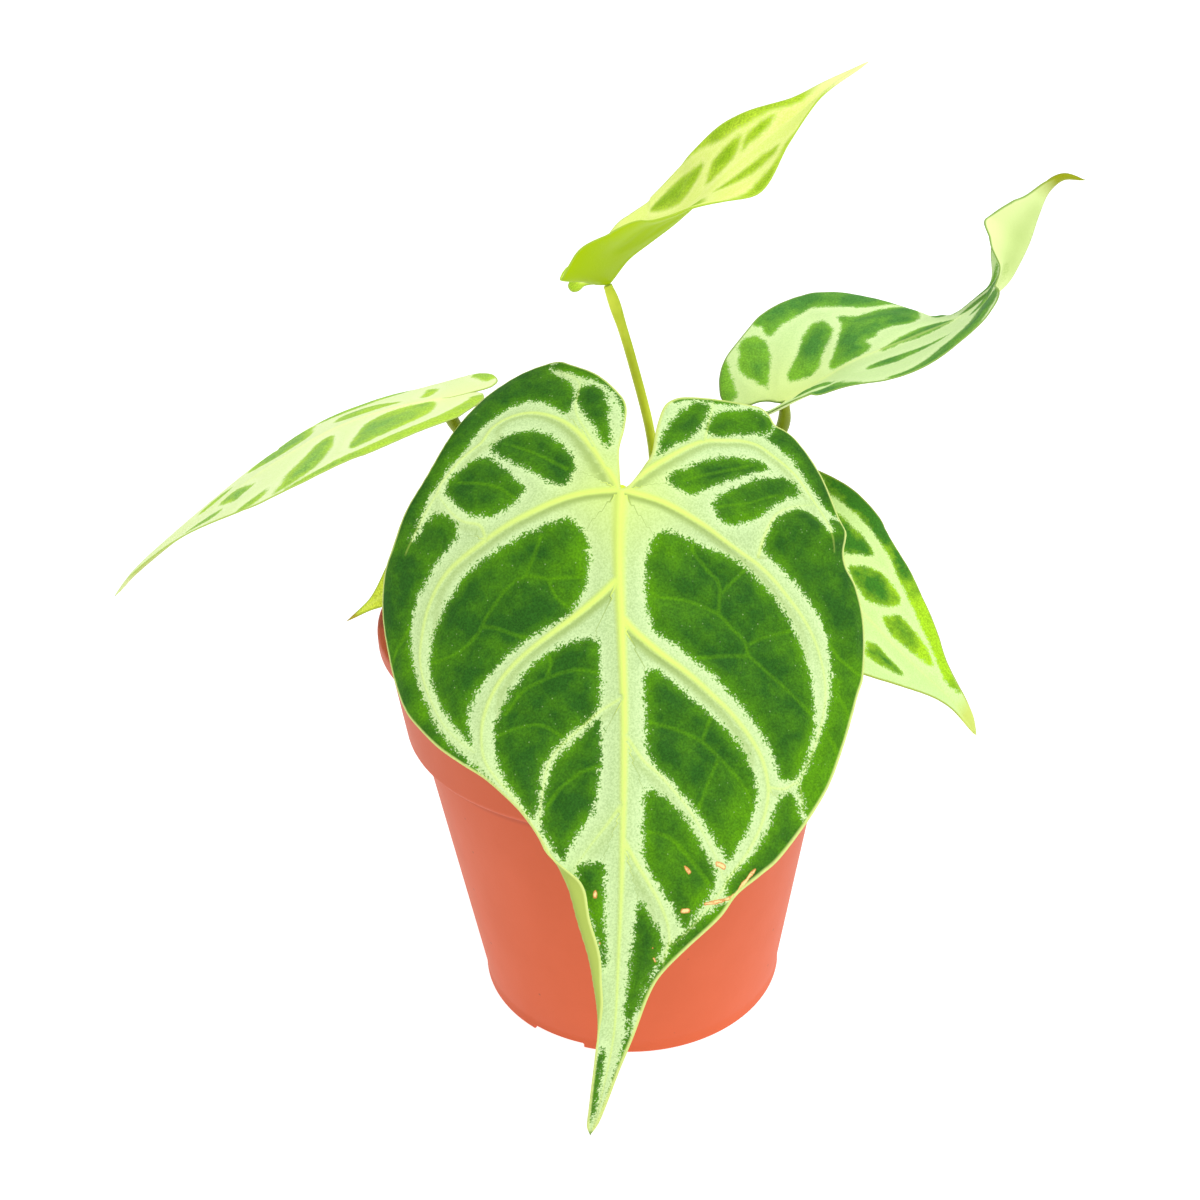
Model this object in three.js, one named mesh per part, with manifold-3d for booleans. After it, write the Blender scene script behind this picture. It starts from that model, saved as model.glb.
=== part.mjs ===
// Potted anthurium hybrid: six velvety heart-shaped leaves on slender petioles, in a nursery pot.
// Millimetres, +Z up. The origin is the centre of the pot's foot, on the surface it stands on.
import * as THREE from "three";
import { mergeVertices } from "three/addons/utils/BufferGeometryUtils.js";
import Module from "manifold-3d";

const wasm = await Module();
wasm.setup();

// Driving dimensions of the pot, moulded with a wide collar under its rim
const rimRadius = 60;
const potHeight = 108;
const lipHeight = 5;
const collarTopRadius = 58.2;
const collarFootRadius = 55.2;
const collarFoot = 78.4;
const bodyTopRadius = 52.1;
const footRadius = 39.8;
const wall = 1.5;
const footRecess = 2;
const footPadRadius = 18;
const footRingWidth = 3.4;
const drainHoles = 6;
const drainHoleRadius = 3.4;
const drainCircleRadius = 28;
const footArches = 3;
const footArchAzimuth = -29.5;
const footArchWidth = 15;
const footArchHeight = 1.7;
const roundSides = 48;

// Driving dimensions of what the pot holds
const clearance = 0.3;
const soilTop = 97;
const soilRoughness = 1.1;
const barkChips = 12;
const crownCentre = [1, 2.5];
const crownRadius = 8.2;
const crownFoot = 80;
const crownTop = 101;
const socketDepth = 7;
const bladeThickness = 0.8;
const rollWidth = 1.6;
const ribStep = 9;

// Colours of the real surfaces
const terracotta = 0xd96a4b;
const peat = 0x4a382b;
const stemGreen = 0x8fa23a;
const petioleGreen = 0xb4c62e;
const velvetGreen = 0x2f6a24;
const youngGreen = 0xa9cc3b;

// Flat outline of the large front leaf, half by half, from the petiole round the lobe to the tip.
// The first number is across the midrib, the second along it from the petiole.
const frontLeft = [
  [0, 0], [-0.8, -5.4], [-1.4, -10.6], [-0.9, -16.5], [-1.2, -22.8], [-3.8, -27.4], [-8.8, -33],
  [-14.7, -36.8], [-18, -38.6], [-21.5, -38], [-25.8, -36.3], [-30, -33.5], [-34.9, -28.8],
  [-39.2, -21.4], [-43.4, -9.1], [-47.5, 1], [-51.2, 9.5], [-54.5, 15.5], [-55.6, 22.5],
  [-54, 31.8], [-51.7, 38.9], [-48.8, 44.5], [-45.4, 48.4], [-40.1, 53.2], [-34.4, 56.9],
  [-29.2, 59.9], [-24.9, 63.2], [-20.3, 67.5], [-16, 73.5], [-14.4, 80], [-12.4, 85],
  [-10.6, 90], [-8.8, 95], [-7.1, 100], [-5.9, 105], [-4.7, 110], [-4, 115], [-3.4, 120],
  [-2.9, 126], [-2.3, 132], [-1.4, 138], [0, 140.7],
];
const frontRight = [
  [0, 0], [1.5, -1.2], [3, -3.8], [4.3, -7.1], [5.6, -11], [5.9, -18.1], [6.9, -24.2],
  [8.8, -27.1], [11.8, -28.9], [18.3, -30.7], [26.5, -32.3], [29.3, -32.6], [31.4, -31.2],
  [32.8, -28.8], [35.1, -28.1], [38, -26.5], [42.5, -21.6], [46.7, -15.2], [50.3, -5.8],
  [51.1, 3], [50.8, 10.8], [51.6, 15.5], [54, 20], [55.4, 28.4], [54.5, 38.1], [51.9, 43.4],
  [48.3, 51.4], [44.1, 60.3], [38.9, 67.6], [32.3, 75.1], [28.2, 78.4], [23.5, 82.1],
  [20.2, 86.6], [14.1, 92.9], [9.3, 98.6], [7, 103], [5.1, 109.5], [2.9, 120], [1.7, 130],
  [1, 137], [0, 140.7],
];

// Half outline of a grown leaf of this plant, as shares of its half width and of its length
const grownHalf = [
  [0, 0], [0.032, -0.12], [0.08, -0.27], [0.105, -0.42], [0.11, -0.58], [0.13, -0.75],
  [0.18, -0.9], [0.25, -1], [0.345, -0.98], [0.46, -0.895], [0.58, -0.73], [0.69, -0.47],
  [0.79, -0.21], [0.87, 0.004], [0.945, 0.061], [0.988, 0.122], [1, 0.18], [0.994, 0.23],
  [0.963, 0.287], [0.903, 0.348], [0.822, 0.406], [0.73, 0.46], [0.629, 0.514], [0.517, 0.568],
  [0.406, 0.621], [0.304, 0.675], [0.213, 0.733], [0.148, 0.79], [0.101, 0.855],
  [0.057, 0.923], [0, 1],
];

// Flat outline of the lower right leaf
const lowLeft = [
  [0, 0], [-0.9, -1.9], [-2.2, -4.3], [-2.9, -6.7], [-3.1, -9.3], [-3.6, -12], [-5, -14.4],
  [-7, -16], [-9.7, -15.7], [-12.9, -14.4], [-16.2, -11.7], [-19.3, -7.5], [-21.8, -3.4],
  [-23.8, 0.3], [-25.2, 4.2], [-25.8, 8.5], [-25.8, 12.5], [-25.2, 16], [-23.9, 20],
  [-21.2, 25], [-18, 30], [-14.2, 35], [-10.7, 40], [-7.5, 45], [-5.1, 50], [-3.3, 55],
  [-2.2, 60], [-1.3, 65], [0, 69.3],
];
const lowRight = [
  [0, 0], [0.9, -2.4], [2.2, -5.4], [2.9, -8.4], [3.1, -11.6], [3.6, -15], [5, -18],
  [7, -20], [9.7, -19.6], [12.9, -18], [16.2, -14.6], [19.1, -9.4], [21.9, -4.2],
  [23.8, 0.3], [24.7, 5], [25.2, 10], [25.4, 15], [24.8, 20], [23.2, 25], [20.8, 30],
  [18.3, 35], [15.3, 40], [11.3, 45], [7.3, 50], [4.7, 55], [3.2, 60], [1.9, 65], [0, 69.3],
];

// Half outlines of the young top leaf, whose two lobes are still short
const youngNear = [
  [0, 0], [-2.8, -0.9], [-5.7, -1.8], [-8.3, -3], [-10.8, -4.2], [-13, -5.3], [-14.8, -5.6],
  [-16.4, -4.8], [-17.9, -2.8], [-19.3, 0.4], [-20.6, 4], [-21.7, 9], [-22, 15], [-21.4, 22],
  [-19.5, 29], [-17, 36], [-14, 42.5], [-10.5, 49], [-7, 56], [-4, 63], [-1.8, 70],
  [0, 76.3],
];
const youngFar = [
  [0, 0], [2.8, -2.2], [5, -4.8], [6.8, -7.2], [8.6, -8], [10.6, -7], [12, -4.8], [13.4, -2],
  [15.4, 2], [17.8, 8], [20.4, 15], [21.2, 22], [19.5, 29], [17, 36], [14, 42.5],
  [10.5, 49], [7, 56], [4, 63], [1.8, 70], [0, 76.3],
];

// Main veins of the front leaf in its flat outline, each from the midrib or petiole outwards
const frontVeins = [
  [[-2, -3], [-6.8, -9.7], [-15.5, -18.6], [-24.1, -21.2], [-32.2, -13.4], [-38.6, -5.6],
    [-45, 7]],
  [[-2.5, 0.4], [-14.5, 2.9], [-27, 8.2], [-37.4, 14.3], [-43.9, 23], [-44.5, 35.4],
    [-38.5, 48.5]],
  [[-1, 19.5], [-9.3, 24.8], [-19.4, 30.7], [-28.1, 40.9], [-29, 53], [-20.8, 65]],
  [[-1, 67], [-5.2, 71.8], [-9, 76.2]],
  [[2, -2.5], [9, -9.9], [20.8, -18.6], [32.1, -18.7], [39.9, -13.1], [46, -3]],
  [[2.9, 0.9], [15.3, 4.7], [29.7, 14.7], [40.2, 28.7], [42.9, 42.1], [38.1, 57]],
  [[1, 28], [11.9, 37.1], [24.3, 47.7], [30.3, 62.3], [24.4, 75.1], [12, 89.7]],
  [[1, 51], [9.7, 60.5], [16.9, 70], [20.5, 76]],
  [[1, 72.5], [7.8, 82.7], [10.2, 92.8], [5.6, 101.5]],
];

// Main veins of a grown leaf's right half, as shares of its half width and of its length
const grownVeins = [
  [[0.04, -0.08], [0.18, -0.34], [0.42, -0.6], [0.66, -0.42], [0.84, -0.1]],
  [[0.05, 0.006], [0.3, 0.035], [0.6, 0.105], [0.82, 0.21], [0.86, 0.31], [0.74, 0.42]],
  [[0.02, 0.2], [0.25, 0.265], [0.5, 0.35], [0.58, 0.45], [0.47, 0.55], [0.28, 0.66]],
];

// The six leaves. midrib runs from behind the petiole's joint to the tip, joint is the index of
// the joint in it, and facing is the side that the blade's upper face looks to. fold is how far
// each half is lifted towards that side, in degrees, and curl its further bend in degrees for
// each millimetre across, both at stations along the midrib. rolled is where a margin starts to
// roll and by how many degrees in all. wave is the height and length of the margin's waves.
// evened is the length over which the midrib's direction is evened out for the halves, and
// widened are shares that differ from those of grownHalf.
const leaves = {
  front: {
    facing: [0, -0.82, 0.57],
    joint: 2,
    midrib: [
      [6.4, 2, 177], [3.9, -19, 167], [0.7, -40, 154], [-0.2, -47.5, 141.7], [-0.1, -57, 128],
      [-0.1, -65.5, 115.6], [-0.7, -74, 102.6], [-1.6, -81.5, 88.4], [-2.8, -87.5, 73],
      [-4.3, -91.5, 55.5], [-7.4, -93, 39.1], [-10.2, -93, 27.7],
    ],
    left: frontLeft,
    right: frontRight,
    foldLeft: [[-40, -10], [0, -6], [40, -6], [65, -4], [85, 10], [110, 25], [136, 30]],
    foldRight: [[-40, -10], [0, -6], [40, -6], [70, -6], [85, 0], [110, 5], [136, 25]],
    curlLeft: [[-40, -0.3], [0, -0.4], [50, -0.35], [68, 0.2], [90, 0.8], [136, 2]],
    curlRight: [[-40, -0.3], [0, -0.4], [50, -0.35], [90, 0.2], [136, 2]],
    rolledLeft: [[66, 22, 0], [73, 15, 30], [77, 12, 110], [80, 10.4, 150], [88, 7.9, 155],
      [95, 5.6, 155], [102, 4.2, 150], [107, 3.4, 130], [111, 2.9, 90], [116, 2.6, 50],
      [122, 2.4, 15], [128, 2.2, 0]],
    evened: 9,
    wave: [0.5, 23],
    rows: [10, 26],
    columns: 5,
    veins: frontVeins,
    veinRadius: [0.75, 0.4],
    midribRadius: [1.25, 0.5],
    petiole: [[1, 0.5], [1.2, -2, 106], [1.4, -9, 122], [1.5, -21, 139.5], [1, -32, 148.6]],
    petioleRadius: 1.7,
    seat: [0, 0.8, -0.6],
    seatDistance: 1.6,
    colour: velvetGreen,
  },
  top: {
    facing: [-0.06, -0.98, 0.18],
    joint: 1,
    midrib: [
      [-6.1, 8, 181.6], [-1, 8, 185.5], [3.7, 6, 191.5], [8.9, 4, 195.8], [14.5, 3, 200],
      [20, 2, 204.9], [25.6, 2, 210.2], [33.4, 3, 215.9], [41.5, 5, 221.3], [48.4, 8, 226.2],
      [57, 12, 230.8],
    ],
    left: youngNear,
    right: youngFar,
    foldLeft: [[-9, 121], [0, 112], [12, 103], [30, 83], [40, 56], [50, 69], [62, 88], [75, 87]],
    foldRight: [[-9, -55], [0, -65], [15, -71], [35, -63], [50, -44], [62, -48], [75, -52]],
    curlLeft: [[-10, 0.3], [5, 0.5], [30, 0.7], [50, 0.4], [80, 0.4]],
    curlRight: [[-10, 0.3], [80, 0.3]],
    wave: [0.3, 17],
    rows: [6, 18],
    columns: 3,
    veinPairs: 2,
    veinRadius: [0.5, 0.35],
    midribRadius: [0.9, 0.4],
    petiole: [[2.8, 5.2], [6, 6, 115], [8.6, 6, 138], [8.2, 6.4, 150], [4.2, 7.4, 168],
      [0.9, 8, 180]],
    petioleRadius: 1.15,
    seat: [0.25, 0, -0.97],
    seatDistance: 1.2,
    colour: youngGreen,
  },
  right_up: {
    facing: [-0.26, -0.94, 0.24],
    joint: 1,
    midrib: [
      [30.6, 24, 145.3], [42, 22, 151], [52.4, 20, 157.7], [59.8, 19, 162.3], [76.2, 19, 168.4],
      [83.8, 20, 171.7], [89.3, 22, 174.9], [94.5, 24, 178.5], [97.7, 26, 183],
      [100.2, 28, 187.7], [102.3, 30, 193.4], [104.7, 32, 198], [108.8, 34, 200.6],
      [114.5, 36, 199.8],
    ],
    halfWidth: 32,
    lobeLeft: 11,
    lobeRight: 15,
    widenedLeft: [[0.33, 0.568], [0.27, 0.621], [0.34, 0.675], [0.42, 0.733], [0.36, 0.79],
      [0.16, 0.855], [0.06, 0.923]],
    widenedRight: [[0.76, 0.406], [0.62, 0.46], [0.46, 0.514], [0.4, 0.568], [0.4, 0.621],
      [0.38, 0.675], [0.35, 0.733], [0.26, 0.79], [0.1, 0.855]],
    foldLeft: [[-14, 88], [0, 87], [12, 85], [24, 76], [40, 78], [52, 91], [62, 124], [72, 147],
      [82, 130], [92, 105]],
    foldRight: [[-14, -26], [0, -38], [20, -56], [38, -73], [50, -82], [62, -76], [75, -30],
      [90, -20]],
    curlLeft: [[0, 0.2], [100, 0.2]],
    curlRight: [[0, 0.2], [100, 0.2]],
    wave: [0.6, 19],
    rows: [6, 22],
    columns: 3,
    veinRadius: [0.55, 0.35],
    midribRadius: [0.95, 0.4],
    petiole: [[6, 7], [9, 9.5, 108], [20, 14, 120], [32, 18.5, 131], [39.2, 20.8, 140.5],
      [41.7, 21.4, 146]],
    petioleRadius: 1.35,
    seat: [0, -0.1, -1],
    seatDistance: 1.5,
    colour: velvetGreen,
  },
  left: {
    facing: [0.25, -0.9, 0.35],
    joint: 1,
    midrib: [
      [-29.5, 12, 160.6], [-40.6, 9.5, 158.9], [-53.4, 5.8, 157.8], [-65.9, 0.9, 155.1],
      [-76.7, -5, 150.8],
      [-84.9, -7, 146.2], [-96.6, -8, 138.2], [-108.7, -8, 129.4], [-116.6, -7, 123],
      [-122.6, -5, 116.9],
    ],
    halfWidth: 29,
    lobeLeft: 14,
    lobeRight: 9,
    widenedLeft: [[0.01, -0.12], [0.011, -0.27], [0.012, -0.42], [0.013, -0.58],
      [0.02, -0.75], [0.07, -0.9], [0.17, -1]],
    widenedRight: [[0.01, -0.12], [0.011, -0.27], [0.012, -0.42], [0.013, -0.58],
      [0.02, -0.75], [0.07, -0.9], [0.17, -1]],
    foldLeft: [[-20, -69], [0, -80], [40, -84.5], [60, -81], [90, -65]],
    foldRight: [[-20, 81], [0, 77], [40, 73], [60, 81], [90, 101]],
    curlLeft: [[0, 0.1], [90, 0.1]],
    curlRight: [[0, 0.1], [90, 0.1]],
    wave: [0.5, 21],
    rows: [6, 18],
    columns: 3,
    veinRadius: [0.55, 0.35],
    midribRadius: [0.95, 0.4],
    petiole: [[-3.8, 5.6], [-6, 6, 107], [-16, 8, 122], [-28, 9.6, 139],
      [-36.5, 9.8, 149.5], [-39.4, 9.6, 154.5]],
    petioleRadius: 1.3,
    seat: [0.4, 0, -0.92],
    seatDistance: 1.2,
    colour: youngGreen,
  },
  right_low: {
    facing: [-0.19, -0.86, 0.47],
    joint: 1,
    midrib: [
      [31.9, -3, 134.7], [40.7, -8, 126], [48.6, -14, 119.2], [57, -18, 111.2],
      [63.8, -20, 104.1], [71.1, -20, 96.3], [79, -19, 87.7], [85.9, -17, 77.5],
    ],
    left: lowLeft,
    right: lowRight,
    halfWidth: 25.5,
    lobeLeft: 16,
    lobeRight: 20,
    foldLeft: [[-20, 45], [0, 46], [20, 53], [40, 68], [70, 71]],
    foldRight: [[-20, -28], [0, -34], [20, -47], [40, -40], [70, -10]],
    curlLeft: [[0, 0.1], [90, 0.1]],
    curlRight: [[0, 0.1], [90, 0.1]],
    wave: [0.5, 20],
    rows: [6, 15],
    columns: 3,
    veinRadius: [0.55, 0.35],
    midribRadius: [0.95, 0.4],
    petiole: [[6.2, 1.6], [9, 0, 109], [16, -1.5, 117], [27, -3.4, 123], [36, -4.8, 124.2]],
    petioleRadius: 1.3,
    seat: [-0.3, 0.8, -0.5],
    seatDistance: 1.65,
    colour: velvetGreen,
  },
  small: {
    facing: [0.15, -0.9, 0.42],
    joint: 1,
    midrib: [
      [-40, 4, 127.5], [-43.4, 0, 125.4], [-46.8, -4, 123.4], [-51.4, -8, 120.6],
      [-57.5, -10, 116.5], [-62.2, -10, 113.2], [-65.9, -11, 111.1],
    ],
    halfWidth: 8,
    lobeLeft: 3.5,
    lobeRight: 3.5,
    foldLeft: [[0, -30], [40, -28]],
    foldRight: [[0, 31], [40, 30]],
    curlLeft: [[0, 0.1], [40, 0.1]],
    curlRight: [[0, 0.1], [40, 0.1]],
    wave: [0.2, 11],
    rows: [4, 8],
    columns: 2,
    veinPairs: 0,
    veinRadius: [0.4, 0.35],
    midribRadius: [0.6, 0.35],
    petiole: [[-4, 1], [-7, 1.4, 107], [-16, 3.4, 116], [-28, 5, 121.5], [-37, 5.2, 123.4]],
    petioleRadius: 1,
    seat: [0.1, 0.8, -0.6],
    seatDistance: 1.9,
    colour: youngGreen,
  },
};

// Mesh helpers: three.js geometry to a closed solid and back

function toSolid(geometry) {
  const bare = geometry.clone();
  for (const name of Object.keys(bare.attributes)) {
    if (name !== "position") bare.deleteAttribute(name);
  }
  const merged = mergeVertices(bare, 1e-4);
  const position = merged.attributes.position;
  const corners = [];
  const [a, b, c] = [new THREE.Vector3(), new THREE.Vector3(), new THREE.Vector3()];
  let volume = 0;
  for (let i = 0; i < merged.index.count; i += 3) {
    const ids = [0, 1, 2].map((k) => merged.index.getX(i + k));
    if (new Set(ids).size < 3) continue;
    [a, b, c].forEach((corner, k) => corner.fromBufferAttribute(position, ids[k]));
    volume += a.dot(b.clone().cross(c));
    corners.push(ids);
  }
  const outward = volume > 0 ? corners : corners.map(([i, j, k]) => [i, k, j]);
  return new wasm.Manifold(new wasm.Mesh({
    numProp: 3,
    vertProperties: new Float32Array(position.array),
    triVerts: new Uint32Array(outward.flat()),
  }));
}

function toGeometry(solid) {
  const mesh = solid.getMesh();
  const geometry = new THREE.BufferGeometry();
  const position = new Float32Array(mesh.numVert * 3);
  for (let i = 0; i < mesh.numVert; i += 1) {
    for (let k = 0; k < 3; k += 1) position[3 * i + k] = mesh.vertProperties[mesh.numProp * i + k];
  }
  geometry.setAttribute("position", new THREE.BufferAttribute(position, 3));
  geometry.setIndex([...mesh.triVerts]);
  geometry.computeVertexNormals();
  return geometry;
}

function joined(solids) {
  return solids.reduce((sum, solid) => sum.add(solid));
}

function piece(name, solid, colour, roughness) {
  const material = new THREE.MeshStandardMaterial({ color: colour, roughness, metalness: 0 });
  const mesh = new THREE.Mesh(toGeometry(solid), material);
  mesh.name = name;
  return mesh;
}

// A solid of revolution about Z from radius and height pairs that start and end on the axis
function turned(profile, sides = roundSides) {
  const points = profile.map(([radius, height]) => new THREE.Vector2(radius, height));
  return new THREE.LatheGeometry(points, sides).rotateX(Math.PI / 2);
}

function upright(radius, height, sides) {
  return new THREE.CylinderGeometry(radius, radius, height, sides).rotateX(Math.PI / 2);
}

// A smooth curve through [station, value] pairs, level beyond its ends
function along(stations, x) {
  const last = stations.length - 1;
  const slope = (i) => (stations[i + 1][1] - stations[i][1]) / (stations[i + 1][0] - stations[i][0]);
  const tangent = (i) => {
    if (i === 0) return slope(0);
    return i === last ? slope(last - 1) : (slope(i - 1) + slope(i)) / 2;
  };
  if (x <= stations[0][0]) return stations[0][1];
  if (x >= stations[last][0]) return stations[last][1];
  const i = stations.findIndex(([station]) => station > x) - 1;
  const step = stations[i + 1][0] - stations[i][0];
  const t = (x - stations[i][0]) / step;
  return (2 * t ** 3 - 3 * t ** 2 + 1) * stations[i][1] + (t ** 3 - 2 * t ** 2 + t) * step * tangent(i)
    + (3 * t ** 2 - 2 * t ** 3) * stations[i + 1][1] + (t ** 3 - t ** 2) * step * tangent(i + 1);
}

// A repeatable draw between 0 and 1
function seededDraw(seed) {
  let state = seed;
  return () => {
    state = (state * 1664525 + 1013904223) % 4294967296;
    return state / 4294967296;
  };
}

// A round tube along a curve, whose radius follows a function of the share of its length
function tube(curve, radius, sides, steps, swell) {
  const ring = Array.from({ length: sides }, (_, i) => {
    const angle = (2 * Math.PI * i) / sides;
    return new THREE.Vector2(radius * Math.cos(angle), radius * Math.sin(angle));
  });
  const settings = { steps, bevelEnabled: false, extrudePath: curve };
  const geometry = new THREE.ExtrudeGeometry(new THREE.Shape(ring), settings);
  const stations = curve.getSpacedPoints(steps);
  const position = geometry.attributes.position;
  const vertex = new THREE.Vector3();
  for (let i = 0; i < position.count; i += 1) {
    vertex.fromBufferAttribute(position, i);
    const distances = stations.map((station) => station.distanceTo(vertex));
    const nearest = distances.indexOf(Math.min(...distances));
    vertex.sub(stations[nearest]).multiplyScalar(swell(nearest / steps)).add(stations[nearest]);
    position.setXYZ(i, vertex.x, vertex.y, vertex.z);
  }
  return toSolid(geometry);
}

// The pot, with its drain holes and the arches in its foot

function potSolid() {
  const bodySlope = (bodyTopRadius - footRadius) / collarFoot;
  const collarSlope = (collarTopRadius - collarFootRadius) / (potHeight - lipHeight - collarFoot);
  const lipFoot = potHeight - lipHeight;
  const inside = (radius) => radius - wall;
  const floor = footRecess + wall;
  const profile = [
    [0, 0], [footPadRadius, 0], [footPadRadius + 1.2, footRecess],
    [footRadius - footRingWidth - 1.2, footRecess], [footRadius - footRingWidth, 0],
    [footRadius + 0.2, 0], [footRadius + 0.7, 0.5], [footRadius + 0.6, 2.4],
    [footRadius + 4 * bodySlope, 3.6],
    [bodyTopRadius - 2.4 * bodySlope, collarFoot - 2.4], [collarFootRadius + collarSlope, collarFoot + 0.6],
    [collarTopRadius, lipFoot], [rimRadius, lipFoot + 0.8], [rimRadius, potHeight - 1],
    [rimRadius - 0.8, potHeight], [inside(collarTopRadius) + 0.8, potHeight],
    [inside(collarTopRadius), lipFoot],
    [inside(collarFootRadius), collarFoot + 2], [inside(bodyTopRadius), collarFoot - 1],
    [inside(footRadius) + bodySlope * (floor + 1.5), floor + 1.5],
    [inside(footRadius) - 1.2, floor], [0, floor],
  ];
  let pot = toSolid(turned(profile));
  for (let i = 0; i < drainHoles; i += 1) {
    const angle = (2 * Math.PI * (i + 0.5)) / drainHoles;
    const hole = upright(drainHoleRadius, 10, 10)
      .translate(drainCircleRadius * Math.cos(angle), drainCircleRadius * Math.sin(angle), 3);
    pot = pot.subtract(toSolid(hole));
  }
  for (let i = 0; i < footArches; i += 1) {
    const arch = new THREE.Shape();
    arch.moveTo(-footArchWidth / 2, -2);
    arch.lineTo(-footArchWidth / 2, footArchHeight - 0.5);
    arch.lineTo(0.5 - footArchWidth / 2, footArchHeight);
    arch.lineTo(footArchWidth / 2 - 0.5, footArchHeight);
    arch.lineTo(footArchWidth / 2, footArchHeight - 0.5);
    arch.lineTo(footArchWidth / 2, -2);
    const depth = footRingWidth + 4;
    const cut = new THREE.ExtrudeGeometry(arch, { depth, bevelEnabled: false, curveSegments: 3 });
    cut.rotateX(Math.PI / 2).translate(0, -(footRadius - footRingWidth - 1), 0);
    cut.rotateZ(THREE.MathUtils.degToRad(footArchAzimuth + (360 * i) / footArches));
    pot = pot.subtract(toSolid(cut));
  }
  return pot;
}

// The soil: a peat plug with an uneven top, bark chips and a plain hole for the crown

function soilHeight(x, y) {
  const swells = Math.sin(0.31 * x + 1.3) * Math.cos(0.27 * y - 0.4);
  const lumps = Math.sin(0.83 * x - 0.5 * y) * Math.cos(0.71 * y + 0.35 * x + 0.9);
  return soilTop + soilRoughness * (0.6 * swells + 0.4 * lumps);
}

function soilSolid() {
  const bodySlope = (bodyTopRadius - footRadius) / collarFoot;
  const collarSlope = (collarTopRadius - collarFootRadius) / (potHeight - lipHeight - collarFoot);
  const inside = (radius) => radius - wall - clearance;
  const floor = footRecess + wall + clearance;
  const edge = inside(collarFootRadius + collarSlope * (soilTop - collarFoot - 2)) - 0.2;
  const rings = [0.84, 0.68, 0.52, 0.36, 0.18];
  const profile = [
    [0, floor], [inside(footRadius) - 1.6, floor],
    [inside(footRadius) + bodySlope * (floor + 1.5), floor + 1.8],
    [inside(bodyTopRadius) - 0.1, collarFoot - 1],
    [inside(collarFootRadius) - 0.1, collarFoot + 2.6], [edge, soilTop - 1.4],
    ...rings.map((share) => [edge * share, soilTop]), [0, soilTop],
  ];
  const geometry = turned(profile);
  const position = geometry.attributes.position;
  for (let i = 0; i < position.count; i += 1) {
    if (position.getZ(i) > soilTop - 0.5) {
      position.setZ(i, soilHeight(position.getX(i), position.getY(i)));
    }
  }
  const draw = seededDraw(7);
  const chips = Array.from({ length: barkChips }, () => {
    const angle = 2 * Math.PI * draw();
    const radius = 19 + 29 * Math.sqrt(draw());
    const [x, y] = [radius * Math.cos(angle), radius * Math.sin(angle)];
    const chip = new THREE.BoxGeometry(4 + 5 * draw(), 2.5 + 2 * draw(), 1.8 + 1.2 * draw());
    chip.rotateX(0.5 * (draw() - 0.5)).rotateY(0.6 * (draw() - 0.5)).rotateZ(6.3 * draw());
    return toSolid(chip.translate(x, y, soilHeight(x, y) + 0.3));
  });
  const [x, y] = crownCentre;
  const hole = upright(crownRadius + clearance + 0.2, 40, 24).translate(x, y, crownFoot - 0.5 + 20);
  return joined([toSolid(geometry), ...chips]).subtract(toSolid(hole));
}

// The crown: the short stem, with sockets for the petioles and a ring of pointed sheaths

function sheath(azimuth, height, width) {
  const outline = new THREE.Shape();
  outline.moveTo(-width / 2, 0);
  outline.quadraticCurveTo(-width / 2, 0.6 * height, 0, height);
  outline.quadraticCurveTo(width / 2, 0.6 * height, width / 2, 0);
  outline.lineTo(-width / 2, 0);
  const settings = { depth: 1, bevelEnabled: false, curveSegments: 3 };
  const scale = new THREE.ExtrudeGeometry(outline, settings).rotateX(Math.PI / 2);
  const lean = THREE.MathUtils.degToRad(14);
  scale.rotateX(lean).translate(0, -crownRadius + 1.9, crownTop - 1.8);
  scale.rotateZ(azimuth).translate(crownCentre[0], crownCentre[1], 0);
  return toSolid(scale);
}

function crownSolid() {
  const profile = [
    [0, crownFoot], [crownRadius - 2.4, crownFoot], [crownRadius - 0.6, crownFoot + 4],
    [crownRadius, crownTop - 6], [crownRadius - 2, crownTop], [0, crownTop],
  ];
  const body = turned(profile, 16).translate(crownCentre[0], crownCentre[1], 0);
  const sheaths = [0.75, 3.2, 5.6].map((azimuth, i) => sheath(azimuth, 9 + 2 * (i % 2), 6));
  let crown = joined([toSolid(body), ...sheaths]);
  for (const leaf of Object.values(leaves)) {
    const [x, y] = leaf.petiole[0];
    const socket = upright(leaf.petioleRadius * 1.35 + 2 * clearance, 2 * socketDepth, 8);
    crown = crown.subtract(toSolid(socket.translate(x, y, crownTop + clearance)));
  }
  return crown;
}

// Where the left margin starts to roll at v, and by how many degrees in all
function rollAt(leaf, v) {
  if (!leaf.rolledLeft) return [Infinity, 0];
  return [1, 2].map((k) => along(leaf.rolledLeft.map((station) => [station[0], station[k]]), v));
}

// The surface of a leaf: its flat outline bent along the midrib and folded half by half

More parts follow.
